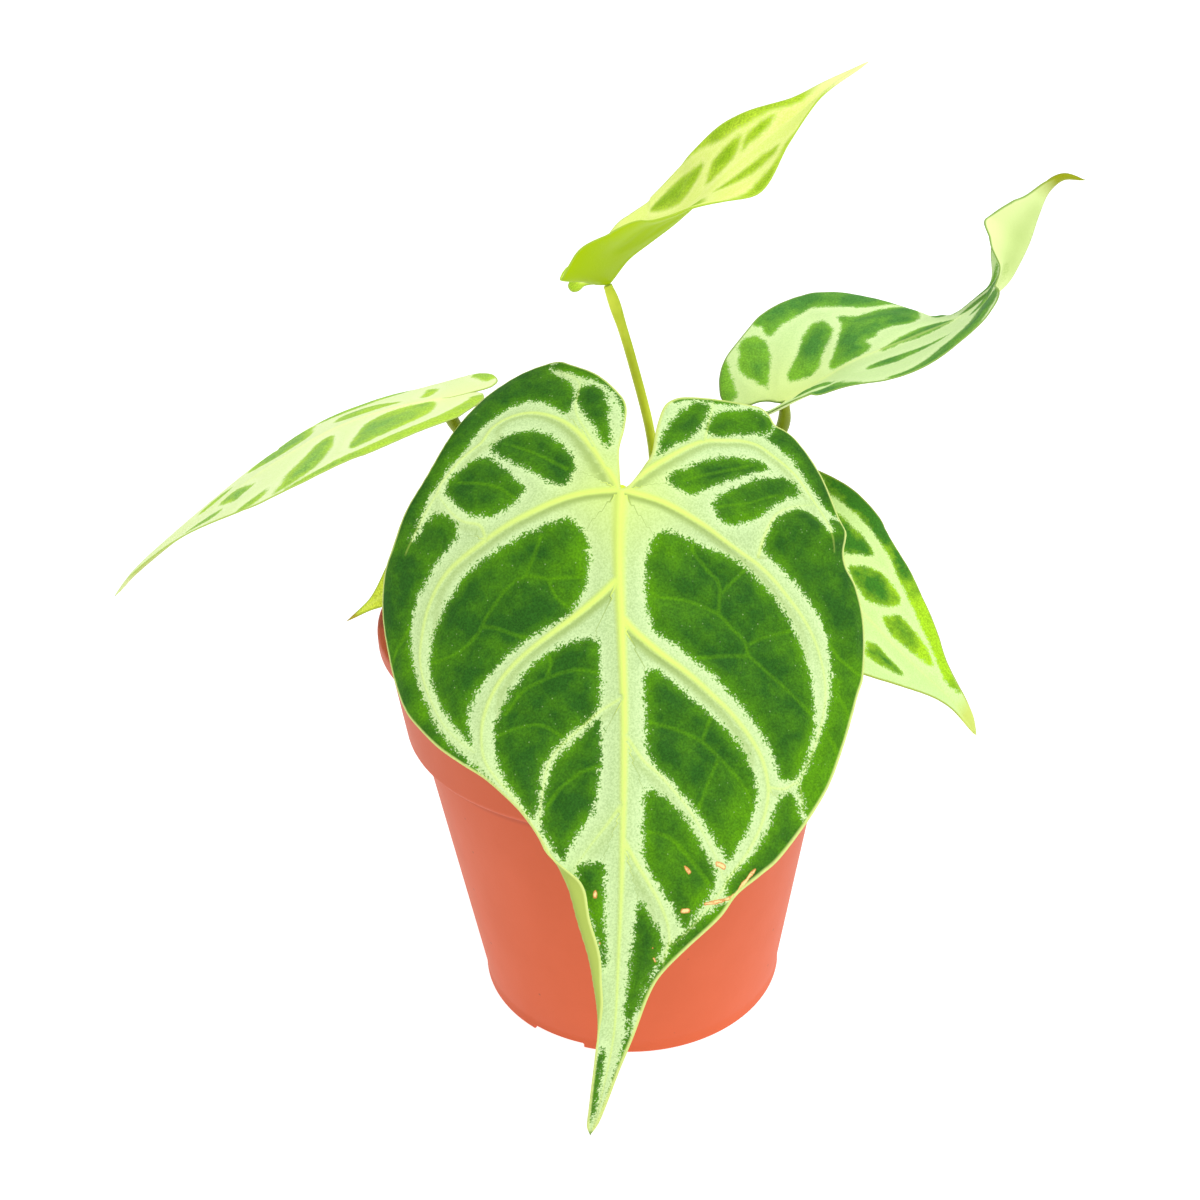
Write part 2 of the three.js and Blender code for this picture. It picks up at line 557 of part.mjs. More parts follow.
class LeafSurface {
  constructor(leaf) {
    this.leaf = leaf;
    const samples = 240;
    const points = leaf.midrib.map((point) => new THREE.Vector3(...point));
    this.curve = new THREE.CatmullRomCurve3(points, false, "catmullrom", 0.5);
    const places = this.curve.getPoints(samples);
    const lengths = [0];
    for (let i = 1; i <= samples; i += 1) {
      lengths.push(lengths[i - 1] + places[i].distanceTo(places[i - 1]));
    }
    const start = lengths[Math.round((leaf.joint / (points.length - 1)) * samples)];
    const facing = new THREE.Vector3(...leaf.facing).normalize();
    const reach = leaf.evened ?? 0;
    const placeAt = (run) => {
      const inside = THREE.MathUtils.clamp(run, 0, lengths[samples]);
      const next = Math.max(lengths.findIndex((length) => length >= inside), 1);
      const share = (inside - lengths[next - 1]) / (lengths[next] - lengths[next - 1]);
      return places[next - 1].clone().lerp(places[next], share);
    };
    this.stations = places.map((origin, i) => {
      const ahead = reach
        ? placeAt(lengths[i] + reach).sub(placeAt(lengths[i] - reach)).normalize()
        : this.curve.getTangent(i / samples);
      const across = new THREE.Vector3().crossVectors(facing, ahead).normalize();
      const upper = new THREE.Vector3().crossVectors(ahead, across).normalize();
      return { v: lengths[i] - start, origin, ahead, across, upper };
    });
    this.length = lengths[samples] - start;
  }

  frame(v) {
    const { stations } = this;
    const last = stations.length - 1;
    const next = Math.min(Math.max(stations.findIndex((station) => station.v > v), 1), last);
    const i = v >= stations[last].v ? last : next;
    const [a, b] = [stations[i - 1], stations[i]];
    const t = THREE.MathUtils.clamp((v - a.v) / (b.v - a.v), 0, 1);
    const beyond = v - THREE.MathUtils.clamp(v, stations[0].v, stations[last].v);
    const [origin, ahead, across, upper] = ["origin", "ahead", "across", "upper"]
      .map((key) => a[key].clone().lerp(b[key], t));
    return [origin.addScaledVector(ahead, beyond), across, upper];
  }

  // The point at u across and v along, with side -1 or 1 for the half of the leaf
  point(u, v, side) {
    const { leaf } = this;
    const [origin, across, upper] = this.frame(v);
    const left = side < 0;
    const fold = THREE.MathUtils.degToRad(along(left ? leaf.foldLeft : leaf.foldRight, v));
    const curl = THREE.MathUtils.degToRad(along(left ? leaf.curlLeft : leaf.curlRight, v));
    const distance = Math.abs(u);
    const [start, turn] = left ? rollAt(leaf, v) : [Infinity, 0];
    const roll = THREE.MathUtils.degToRad(turn / rollWidth);
    const bend = (angle, rate, run) => {
      if (Math.abs(rate) < 1e-6) return [run * Math.cos(angle), run * Math.sin(angle)];
      const end = angle + rate * run;
      return [(Math.sin(end) - Math.sin(angle)) / rate, (Math.cos(angle) - Math.cos(end)) / rate];
    };
    const flatRun = Math.min(distance, start);
    const rolling = Math.min(distance - flatRun, rollWidth);
    const inner = bend(fold, curl, flatRun);
    const outer = bend(fold + curl * flatRun, curl + roll, rolling);
    const end = fold + curl * (flatRun + rolling) + roll * rolling;
    const flap = bend(end, curl, distance - flatRun - rolling);
    const [height, length] = leaf.wave;
    const halfWidth = leaf.halfWidth ?? Math.max(...leaf.right.map(([x]) => x));
    const wave = height * Math.sin((2 * Math.PI * v) / length + side) * (distance / halfWidth) ** 2;
    return origin
      .addScaledVector(across, side * (inner[0] + outer[0] + flap[0]))
      .addScaledVector(upper, inner[1] + outer[1] + flap[1] + wave);
  }

  // The unit normal of the upper face
  normal(u, v) {
    const reach = 0.4;
    const ofSide = (side) => {
      const distance = Math.max(Math.abs(u), reach);
      const out = this.point(side * (distance + reach), v, side);
      const slope = out.sub(this.point(side * (distance - reach), v, side));
      const ahead = this.point(side * distance, v + reach, side);
      ahead.sub(this.point(side * distance, v - reach, side));
      return ahead.cross(slope).multiplyScalar(side).normalize();
    };
    if (Math.abs(u) > reach) return ofSide(Math.sign(u));
    return ofSide(-1).add(ofSide(1)).normalize();
  }
}

// Flat outline of one half of a grown leaf, with its own half width and lobe
function grownOutline(leaf, length, side) {
  const lobe = side < 0 ? leaf.lobeLeft : leaf.lobeRight;
  const widened = (side < 0 ? leaf.widenedLeft : leaf.widenedRight) ?? [];
  const shares = grownHalf.map(([u, v]) => widened.find(([, station]) => station === v) ?? [u, v]);
  return shares.map(([u, v]) => [side * u * leaf.halfWidth, v * (v < 0 ? lobe : length)]);
}

// Points along one margin: some round the lobe, the rest level with stations of the midrib
function marginPoints(outline, stations, lobeRows) {
  const corners = outline.map(([u, v]) => new THREE.Vector2(u, v));
  const dense = new THREE.SplineCurve(corners).getPoints(outline.length * 12);
  const level = stations[lobeRows];
  const widest = outline.reduce((best, [u, v]) => (Math.abs(u) > Math.abs(best[0]) ? [u, v] : best));
  const turn = dense.findIndex((point, i) => i > 6 && point.y >= level && point.x * widest[0] > 0
    && Math.abs(point.x) > 0.5 * Math.abs(widest[0]));
  const lobe = new THREE.Path(dense.slice(0, turn + 1)).getSpacedPoints(lobeRows);
  const rest = stations.slice(lobeRows + 1).map((v) => {
    const next = dense.findIndex((point, i) => i > turn && point.y >= v);
    if (next < 0) return dense[dense.length - 1].clone();
    const [a, b] = [dense[next - 1], dense[next]];
    return a.clone().lerp(b, THREE.MathUtils.clamp((v - a.y) / (b.y - a.y), 0, 1));
  });
  return [...lobe, ...rest];
}

// Where a row of the blade lies in the flat outline, as a function of the share of its way from
// the midrib to the margin. Rows of the lobe leave the joint side by side, from the direction of
// the margin there round to square across, and bow out to their points on the margin.
function rowPath(inner, edge, side, turn) {
  const straight = (share) => inner.clone().lerp(edge, share);
  if (turn === null) return straight;
  const reach = 0.45 * edge.distanceTo(inner);
  const bow = new THREE.Vector2(side * Math.sin(turn), -Math.cos(turn)).multiplyScalar(reach);
  const curve = new THREE.QuadraticBezierCurve(inner, bow.add(inner), edge);
  return (share) => curve.getPoint(share);
}

// How far out each column of a row lies, as a share of the way from the midrib to the margin.
// Where the margin is rolled, columns lie at the start, the middle and the end of the roll.
function columnShares(leaf, side, v, width) {
  const { columns } = leaf;
  const even = Array.from({ length: columns + 1 }, (_, i) => 1 - (1 - i / columns) ** 1.25);
  const [start, turn] = side < 0 ? rollAt(leaf, v) : [Infinity, 0];
  if (turn < 25 || start + rollWidth > width) return even;
  const blend = THREE.MathUtils.clamp((turn - 25) / 60, 0, 1);
  const placed = [0, start / 2, start, start + rollWidth / 2, start + rollWidth, width];
  return even.map((share, i) => THREE.MathUtils.lerp(share, placed[i] / width, blend));
}

// A blade of even thickness, split into the same triangles on both faces
function bladeSheet(leaf, surface, outlines) {
  const [lobeRows, bodyRows] = leaf.rows;
  const rows = lobeRows + bodyRows;
  const { columns } = leaf;
  const shoulder = 0.02 * surface.length;
  const stations = Array.from({ length: rows + 1 }, (_, i) => (i <= lobeRows
    ? (shoulder * i) / lobeRows
    : shoulder + ((surface.length - shoulder) * (i - lobeRows)) / bodyRows));
  const margins = outlines.map((outline) => marginPoints(outline, stations, lobeRows));
  const firstTurns = outlines.map(([, [u, v]]) => Math.atan2(Math.abs(u), -v));
  const span = 2 * columns + 1;
  const vertices = [];
  for (const face of [1, -1]) {
    for (let row = 0; row <= rows; row += 1) {
      const inner = new THREE.Vector2(0, stations[row]);
      const edges = margins.map((margin) => (row === 0 || row === rows ? inner : margin[row]));
      const shares = edges.map((edge, half) => (row > lobeRows
        ? columnShares(leaf, 2 * half - 1, stations[row], Math.abs(edge.x))
        : columnShares({ columns }, 1, 0, 1)));
      for (let column = -columns; column <= columns; column += 1) {
        const side = column < 0 ? -1 : 1;
        const half = side < 0 ? 0 : 1;
        const edge = edges[half];
        const opening = (Math.PI / 2 - firstTurns[half]) * (row / lobeRows);
        const turn = row > 0 && row < lobeRows ? firstTurns[half] + opening : null;
        const share = shares[half][Math.abs(column)];
        const { x: u, y: v } = rowPath(inner, edge, side, turn)(share);
        const place = surface.point(u, v, side);
        place.addScaledVector(surface.normal(u, v), (face * bladeThickness) / 2);
        vertices.push(place.x, place.y, place.z);
      }
    }
  }
  const under = (rows + 1) * span;
  const faces = [];
  for (let row = 0; row < rows; row += 1) {
    for (let column = 0; column < span - 1; column += 1) {
      const corner = row * span + column;
      const quad = [corner, corner + span, corner + span + 1, corner + 1];
      const halves = column < columns ? [[0, 1, 2], [0, 2, 3]] : [[0, 1, 3], [1, 2, 3]];
      for (const [a, b, c] of halves) {
        faces.push(quad[a], quad[b], quad[c], under + quad[a], under + quad[c], under + quad[b]);
      }
    }
    const [left, right] = [row * span, row * span + span - 1];
    faces.push(left, under + left, under + left + span, left, under + left + span, left + span);
    faces.push(right, under + right + span, under + right, right, right + span, under + right + span);
  }
  const geometry = new THREE.BufferGeometry();
  geometry.setAttribute("position", new THREE.Float32BufferAttribute(vertices, 3));
  geometry.setIndex(faces);
  return toSolid(geometry);
}

// A rib along a path in the flat outline, centred the given height above the blade's middle
function rib(surface, path, [thick, thin], height) {
  const flat = new THREE.SplineCurve(path.map(([u, v]) => new THREE.Vector2(u, v)));
  const steps = Math.max(4, Math.round(flat.getLength() / ribStep));
  const places = flat.getSpacedPoints(steps).map(({ x, y }) => surface
    .point(x, y, x < 0 ? -1 : 1).addScaledVector(surface.normal(x, y), height));
  const curve = new THREE.CatmullRomCurve3(places, false, "catmullrom", 0.5);
  return tube(curve, thick, 4, steps, (share) => 1 - share * (1 - thin / thick));
}

function bladeSolid(leaf, surface) {
  const outlines = [-1, 1].map((side) => (side < 0 ? leaf.left : leaf.right)
    ?? grownOutline(leaf, surface.length, side));
  const halfWidth = leaf.halfWidth ?? 22;
  const lobe = leaf.lobeRight ?? 8;
  const pairs = grownVeins.slice(0, leaf.veinPairs ?? 3);
  const mirrored = [-1, 1].flatMap((side) => pairs.map((vein) => vein.map(([u, v]) => [
    side * u * halfWidth, v * (v < 0 ? lobe : surface.length),
  ])));
  const start = 2.5;
  const midrib = [0, 0.25, 0.5, 0.75, 0.97].map((share) => [
    0, start + share * (surface.length - start),
  ]);
  const ribs = (leaf.veins ?? mirrored).map((vein) => rib(surface, vein, leaf.veinRadius, 0.3));
  return joined([
    bladeSheet(leaf, surface, outlines),
    rib(surface, midrib, leaf.midribRadius, -0.3),
    ...ribs,
  ]);
}

// A petiole: rooted in the crown, a little swollen at its foot and under the blade
function petioleSolid(leaf, surface) {
  const [[x, y], ...bends] = leaf.petiole;
  const joint = new THREE.Vector3(...leaf.midrib[leaf.joint]);
  const seat = new THREE.Vector3(...leaf.seat).normalize();
  const end = joint.addScaledVector(seat, leaf.seatDistance);
  const path = [[x, y, crownTop - socketDepth + 2 * clearance], [x, y, crownTop - 1], ...bends,
    end.toArray()];
  const curve = new THREE.CatmullRomCurve3(path.map((p) => new THREE.Vector3(...p)), false,
    "centripetal");
  const steps = Math.round(curve.getLength() / 6);
  const swell = (share) => 1 + 0.15 * Math.exp(-((share / 0.1) ** 2))
    + 0.2 * Math.exp(-(((share - 0.93) / 0.05) ** 2));
  return tube(curve, leaf.petioleRadius, 7, steps, swell);
}

// The assembly

const plant = new THREE.Group();
plant.add(piece("pot", potSolid(), terracotta, 0.6));
plant.add(piece("soil", soilSolid(), peat, 0.95));
plant.add(piece("crown", crownSolid(), stemGreen, 0.7));
for (const [name, leaf] of Object.entries(leaves)) {
  const surface = new LeafSurface(leaf);
  plant.add(piece(`petiole_${name}`, petioleSolid(leaf, surface), petioleGreen, 0.5));
  plant.add(piece(`blade_${name}`, bladeSolid(leaf, surface), leaf.colour, 0.6));
}

export default plant;
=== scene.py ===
"""A potted anthurium hybrid, dressed for the camera.

Six velvety heart-shaped leaves with silver-green bands along their veins rise on slender stalks
from a short crown in a terracotta-coloured nursery pot. Lengths are given in millimetres and
made metres by MM; colours are sRGB hex values.
"""

from __future__ import annotations

import logging
import math
from dataclasses import dataclass, field
from enum import Enum

import bpy
import numpy as np
from mathutils import Matrix, Vector, noise
from mathutils.geometry import delaunay_2d_cdt

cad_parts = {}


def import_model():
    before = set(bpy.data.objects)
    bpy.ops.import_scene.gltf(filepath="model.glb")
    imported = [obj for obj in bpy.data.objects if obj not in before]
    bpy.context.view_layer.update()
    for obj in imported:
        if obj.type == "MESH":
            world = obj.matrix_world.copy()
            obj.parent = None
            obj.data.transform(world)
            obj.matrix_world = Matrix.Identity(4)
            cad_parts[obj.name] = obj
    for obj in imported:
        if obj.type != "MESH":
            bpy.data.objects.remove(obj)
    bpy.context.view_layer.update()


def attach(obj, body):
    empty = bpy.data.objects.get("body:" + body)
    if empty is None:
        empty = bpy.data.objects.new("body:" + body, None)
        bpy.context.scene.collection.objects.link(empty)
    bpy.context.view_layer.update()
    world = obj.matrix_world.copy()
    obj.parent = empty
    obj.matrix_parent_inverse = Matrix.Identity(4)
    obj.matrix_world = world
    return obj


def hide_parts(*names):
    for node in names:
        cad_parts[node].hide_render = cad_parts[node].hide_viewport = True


LOG = logging.getLogger("anthurium")
MM = 0.001
# Points that are compared with a line's samples at a time, which keeps the tables small
CHUNK = 8000
# Without a seed of its own, the noise that roughens the bits of bark changes with the clock
NOISE_SEED = 1

Pair = tuple[float, float]
Triple = tuple[float, float, float]
Line = list[Pair]
Socket = bpy.types.NodeSocket
Piece = bpy.types.Object


class Blade(Enum):
    """The six blades, by the CAD node that each stands for."""

    FRONT = "blade_front"
    TOP = "blade_top"
    RIGHT_UP = "blade_right_up"
    LEFT = "blade_left"
    RIGHT_LOW = "blade_right_low"
    SMALL = "blade_small"


class Slot(Enum):
    """Material slots of the record."""

    POT = "pot"
    SOIL = "soil"
    CROWN = "crown"
    PETIOLE = "petiole"
    VELVET = "velvet_blade"
    YOUNG = "young_blade"


def linear(colour: str) -> tuple[float, float, float, float]:
    """Turns an sRGB hex colour to linear light, with full opacity.

    Args:
        colour: Six hex digits after a hash.

    Returns:
        Red, green, blue and alpha.
    """
    parts = [int(colour[i : i + 2], 16) / 255 for i in (1, 3, 5)]
    light = [c / 12.92 if c <= 0.04045 else ((c + 0.055) / 1.055) ** 2.4 for c in parts]
    return (*light, 1.0)


def per_metre(size_mm: float) -> float:
    """The scale that gives a pattern features of this size on Object coordinates."""
    return 1.0 / (size_mm * MM)


def add_node(
    tree: bpy.types.NodeTree,
    kind: str,
    inputs: dict[str | int, object] | None = None,
    **settings: object,
) -> bpy.types.Node:
    """Adds a node with its settings and links.

    Args:
        tree: The material's node tree.
        kind: The node's type name.
        inputs: Sockets by name or number, each with a value or the socket that feeds it.
        **settings: Properties of the node.

    Returns:
        The new node.
    """
    node = tree.nodes.new(kind)
    for name, value in settings.items():
        setattr(node, name, value)
    for key, value in (inputs or {}).items():
        if isinstance(value, Socket):
            tree.links.new(value, node.inputs[key])
        else:
            node.inputs[key].default_value = value
    return node


class Graph:
    """A material under construction, with short forms for its usual nodes.

    A value is a number or a socket, and a colour is a hex value or a socket.
    """

    def __init__(self, name: str) -> None:
        """Makes an empty node material.

        Args:
            name: The material's name.
        """
        self.material = bpy.data.materials.new(name)
        self.material.use_nodes = True
        self.tree = self.material.node_tree
        self.tree.nodes.clear()
        self.place = add_node(self.tree, "ShaderNodeTexCoord").outputs["Object"]

    def attribute(self, name: str) -> Socket:
        """Reads one of the mesh's point attributes."""
        return add_node(self.tree, "ShaderNodeAttribute", attribute_name=name).outputs["Fac"]

    def noise(self, size_mm: float, detail: float, roughness: float = 0.5,
              place: Socket | None = None) -> Socket:
        """Noise with features of a size in mm.

        Args:
            size_mm: Size of its largest features.
            detail: Octaves of finer features.
            roughness: How strong the finer ones are.
            place: Coordinates, or None for Object coordinates.

        Returns:
            The noise, from 0 to 1.
        """
        return add_node(self.tree, "ShaderNodeTexNoise", {
            "Vector": self.place if place is None else place, "Scale": per_metre(size_mm),
            "Detail": detail, "Roughness": roughness}).outputs["Fac"]

    def dots(self, size_mm: float) -> Socket:
        """Distances to scattered points that lie about a size in mm apart."""
        return add_node(self.tree, "ShaderNodeTexVoronoi", {
            "Vector": self.place, "Scale": per_metre(size_mm)}).outputs["Distance"]

    def ramp(self, value: Socket, low: float, high: float, at_low: float = 0.0,
             at_high: float = 1.0, even: bool = True) -> Socket:
        """Maps a value between two stations, and keeps it level beyond them.

        Args:
            value: What is mapped.
            low: The first station.
            high: The second station.
            at_low: The result at the first.
            at_high: The result at the second.
            even: A straight ramp, or else one with soft ends.

        Returns:
            The mapped value.
        """
        return add_node(self.tree, "ShaderNodeMapRange", {
            "Value": value, "From Min": low, "From Max": high, "To Min": at_low,
            "To Max": at_high}, interpolation_type="LINEAR" if even else "SMOOTHSTEP",
        ).outputs["Result"]

    def math(self, operation: str, *values: float | Socket, clamp: bool = False) -> Socket:
        """Does one calculation, clamped to 0 and 1 if asked."""
        return add_node(self.tree, "ShaderNodeMath", dict(enumerate(values)),
                        operation=operation, use_clamp=clamp).outputs[0]

    def product(self, first: Socket, *others: Socket) -> Socket:
        """Multiplies several values.

        Args:
            first: One value.
            *others: The others.

        Returns:
            Their product.
        """
        for other in others:
            first = self.math("MULTIPLY", first, other)
        return first

    def mix(self, share: Socket, first: str | Socket, second: str | Socket) -> Socket:
        """Mixes two colours by the second one's share.

        Args:
            share: The second colour's share.
            first: The first colour.
            second: The second colour.

        Returns:
            The mixed colour.
        """
        ends = [linear(end) if isinstance(end, str) else end for end in (first, second)]
        return add_node(self.tree, "ShaderNodeMix", {0: share, 6: ends[0], 7: ends[1]},
                        data_type="RGBA").outputs[2]

    def bump(self, height: Socket, strength: float, depth_mm: float) -> Socket:
        """Turns heights to a relief of a depth in mm.

        Args:
            height: Heights from 0 to 1.
            strength: How far the relief tells.
            depth_mm: Height of the relief.

        Returns:
            The normals.
        """
        return add_node(self.tree, "ShaderNodeBump", {
            "Height": height, "Strength": strength, "Distance": depth_mm * MM,
        }).outputs["Normal"]

    def finished(self, colour: Socket, rough: float | Socket, specular: float,
                 more: dict[str, object] | None = None) -> bpy.types.Material:
        """Closes the material with its surface.

        Args:
            colour: The base colour.
            rough: The roughness.
            specular: The specular level.
            more: Other inputs of the surface.

        Returns:
            The material.
        """
        surface = add_node(self.tree, "ShaderNodeBsdfPrincipled", {
            "Base Color": colour, "Roughness": rough, "Specular IOR Level": specular,
            **(more or {})})
        add_node(self.tree, "ShaderNodeOutputMaterial", {"Surface": surface.outputs[0]})
        return self.material


def deselect_all() -> None:
    """Leaves object mode clean, with nothing selected."""
    if bpy.context.object and bpy.context.object.mode != "OBJECT":
        bpy.ops.object.mode_set(mode="OBJECT")
    bpy.ops.object.select_all(action="DESELECT")


def make_active(obj: Piece) -> None:
    """Selects one object alone and makes it active.

    Args:
        obj: The object.
    """
    deselect_all()
    obj.select_set(True)
    bpy.context.view_layer.objects.active = obj


def edit_all() -> None:
    """Opens the active mesh for editing, with all of it selected."""
    bpy.ops.object.mode_set(mode="EDIT")
    bpy.ops.mesh.select_all(action="SELECT")


def close_edit() -> None:
    """Goes back to object mode."""
    bpy.ops.object.mode_set(mode="OBJECT")


def link_new(name: str, data: bpy.types.ID) -> Piece:
    """Puts new data into the scene as an object.

    Args:
        name: The object's name.
        data: Its mesh, curve, light or camera.

    Returns:
        The object.
    """
    obj = bpy.data.objects.new(name, data)
    bpy.context.scene.collection.objects.link(obj)
    return obj


def join_pieces(pieces: list[Piece], name: str, degrees: float) -> Piece:
    """Joins pieces into a named one, and shades it smooth up to an angle.

    Args:
        pieces: What is joined.
        name: The joined piece's name.
        degrees: Sharpest angle that is shaded smooth.

    Returns:
        The joined piece.
    """
    make_active(pieces[0])
    for piece in pieces:
        piece.select_set(True)
    bpy.ops.object.join()
    joined = bpy.context.object
    joined.name = joined.data.name = name
    smooth(joined, degrees)
    return joined


def smooth(obj: Piece, degrees: float) -> None:
    """Shades a piece smooth, with creases above an angle."""
    make_active(obj)
    bpy.ops.object.shade_smooth_by_angle(angle=math.radians(degrees))


def seat_piece(obj: Piece, material: bpy.types.Material, slot: Slot, *nodes: str) -> None:
    """Gives a finished piece its material and its body, and hides the CAD nodes that it replaces.

    Args:
        obj: The finished piece, at the origin.
        material: What it is made of.
        slot: The record's slot; not used.
        *nodes: CAD nodes that it replaces.
    """
    obj.data.materials.clear()
    obj.data.materials.append(material)
    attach(obj, "root")
    if nodes:
        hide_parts(*nodes)
    LOG.info("%s: %d faces", obj.name, len(obj.data.polygons))


def turned(name: str, profile: Line, steps: int) -> Piece:
    """Draws a profile by extruding a point, then spins it round Z.

    Args:
        name: The piece's name.
        profile: Radius and height pairs in mm, from axis to axis.
        steps: Steps round the circle.

    Returns:
        The closed mesh object.
    """
    deselect_all()
    bpy.ops.mesh.primitive_plane_add(size=MM, location=(0, 0, 0))
    obj = bpy.context.object
    obj.name = obj.data.name = name
    edit_all()
    bpy.ops.mesh.merge(type="CENTER")
    bpy.ops.transform.translate(value=(profile[0][0] * MM, 0, profile[0][1] * MM))
    for (r0, z0), (r1, z1) in zip(profile, profile[1:]):
        step = ((r1 - r0) * MM, 0, (z1 - z0) * MM)
        bpy.ops.mesh.extrude_region_move(TRANSFORM_OT_translate={"value": step})
    bpy.ops.mesh.select_all(action="SELECT")
    bpy.ops.mesh.spin(steps=steps, angle=math.tau, center=(0, 0, 0), axis=(0, 0, 1))
    bpy.ops.mesh.select_all(action="SELECT")
    bpy.ops.mesh.remove_doubles(threshold=0.004 * MM)
    bpy.ops.mesh.normals_make_consistent(inside=False)
    close_edit()
    return obj


def rounded(profile: Line, radii: dict[int, float], steps: int = 4) -> Line:
    """Rounds some corners of a profile.

    Args:
        profile: Radius and height pairs.
        radii: Corner index to how far back the rounding starts, in mm.
        steps: Segments in each rounding.

    Returns:
        The profile with an arc in place of each named corner.
    """
    made: Line = []
    for i, corner in enumerate(profile):
        if i not in radii:
            made.append(corner)
            continue
        before, after = np.array(profile[i - 1]), np.array(profile[i + 1])
        point = np.array(corner)
        starts = [point + (end - point) * min(0.45, radii[i] / np.linalg.norm(end - point))
                  for end in (before, after)]
        for t in np.linspace(0, 1, steps + 1):
            arc = (1 - t) ** 2 * starts[0] + 2 * t * (1 - t) * point + t**2 * starts[1]
            made.append((float(arc[0]), float(arc[1])))
    return made


def catmull_rom(points: Line | np.ndarray, per_span: int) -> np.ndarray:
    """Samples a uniform Catmull-Rom curve.

    Args:
        points: The curve's points.
        per_span: Samples from each point to the next.

    Returns:
        The samples, ends included.
    """
    points = np.array(points, float)
    padded = np.vstack([2 * points[0] - points[1], points, 2 * points[-1] - points[-2]])
    t = np.linspace(0, 1, per_span, endpoint=False)[:, None]
    spans = []
    for a, b, c, d in zip(padded, padded[1:], padded[2:], padded[3:]):
        spans.append(0.5 * (2 * b + (c - a) * t + (2 * a - 5 * b + 4 * c - d) * t**2
                            + (3 * b - a - 3 * c + d) * t**3))
    return np.vstack([*spans, points[-1:]])


def closed_curve(points: Line, per_span: int = 8) -> np.ndarray:
    """A smooth closed curve through points, its end at its start.

    Args:
        points: The curve's points.
        per_span: Samples from each point to the next.

    Returns:
        The samples.
    """
    count = len(points)
    ring = [points[i % count] for i in range(-2, count + 3)]
    return catmull_rom(ring, per_span)[2 * per_span : -2 * per_span]


def inside_of(points: np.ndarray, ring: np.ndarray) -> np.ndarray:
    """Tells which flat points lie inside a closed polyline.

    Args:
        points: Flat points.
        ring: The polyline, its end at its start.

    Returns:
        Whether each point lies inside.
    """
    x, y = points.T
    made = np.zeros(len(points), bool)
    for (ax, ay), (bx, by) in zip(ring, ring[1:]):
        if ay != by:
            made ^= ((ay > y) != (by > y)) & (x < (bx - ax) * (y - ay) / (by - ay) + ax)
    return made


def run_along(line: np.ndarray) -> np.ndarray:
    """Length run so far at each point of a polyline."""
    return np.concatenate([[0], np.cumsum(np.linalg.norm(np.diff(line, axis=0), axis=1))])


def resample(line: np.ndarray, spacing: float) -> np.ndarray:
    """Points at even spacing along a polyline, ends included.

    Args:
        line: The polyline's points.
        spacing: Distance between two points, or near it.

    Returns:
        The new points.
    """
    run = run_along(line)
    places = np.linspace(0, run[-1], max(2, int(round(run[-1] / spacing)) + 1))
    return np.stack([np.interp(places, run, column) for column in line.T], 1)


def along(stations: Line, x: np.ndarray) -> np.ndarray:
    """A smooth curve through station and value pairs, level beyond its ends.

    Args:
        stations: Pairs in rising order.
        x: Where to read it.

    Returns:
        The values at x.
    """
    at, value = np.array(stations, float).T
    slope = np.diff(value) / np.diff(at)
    tangent = np.concatenate([slope[:1], (slope[:-1] + slope[1:]) / 2, slope[-1:]])
    inside = np.clip(x, at[0], at[-1])
    i = np.clip(np.searchsorted(at, inside, side="right") - 1, 0, len(at) - 2)
    step = at[i + 1] - at[i]
    t = (inside - at[i]) / step
    return ((2 * t**3 - 3 * t**2 + 1) * value[i] + (t**3 - 2 * t**2 + t) * step * tangent[i]
            + (3 * t**2 - 2 * t**3) * value[i + 1] + (t**3 - t**2) * step * tangent[i + 1])


def level(value: float) -> Line:
    """Stations of a value that is the same everywhere."""
    return [(0, value), (1, value)]


def nearest(points: np.ndarray, samples: np.ndarray) -> tuple[np.ndarray, np.ndarray]:
    """The nearest sample to each point.

    Args:
        points: Flat points.
        samples: Flat samples of a line.

    Returns:
        Distances, and indices of the samples.
    """
    index = np.empty(len(points), int)
    square = (samples**2).sum(1)
    for start in range(0, len(points), CHUNK):
        chunk = points[start : start + CHUNK]
        index[start : start + CHUNK] = (square[None] - 2 * chunk @ samples.T).argmin(1)
    return np.linalg.norm(points - samples[index], axis=1), index


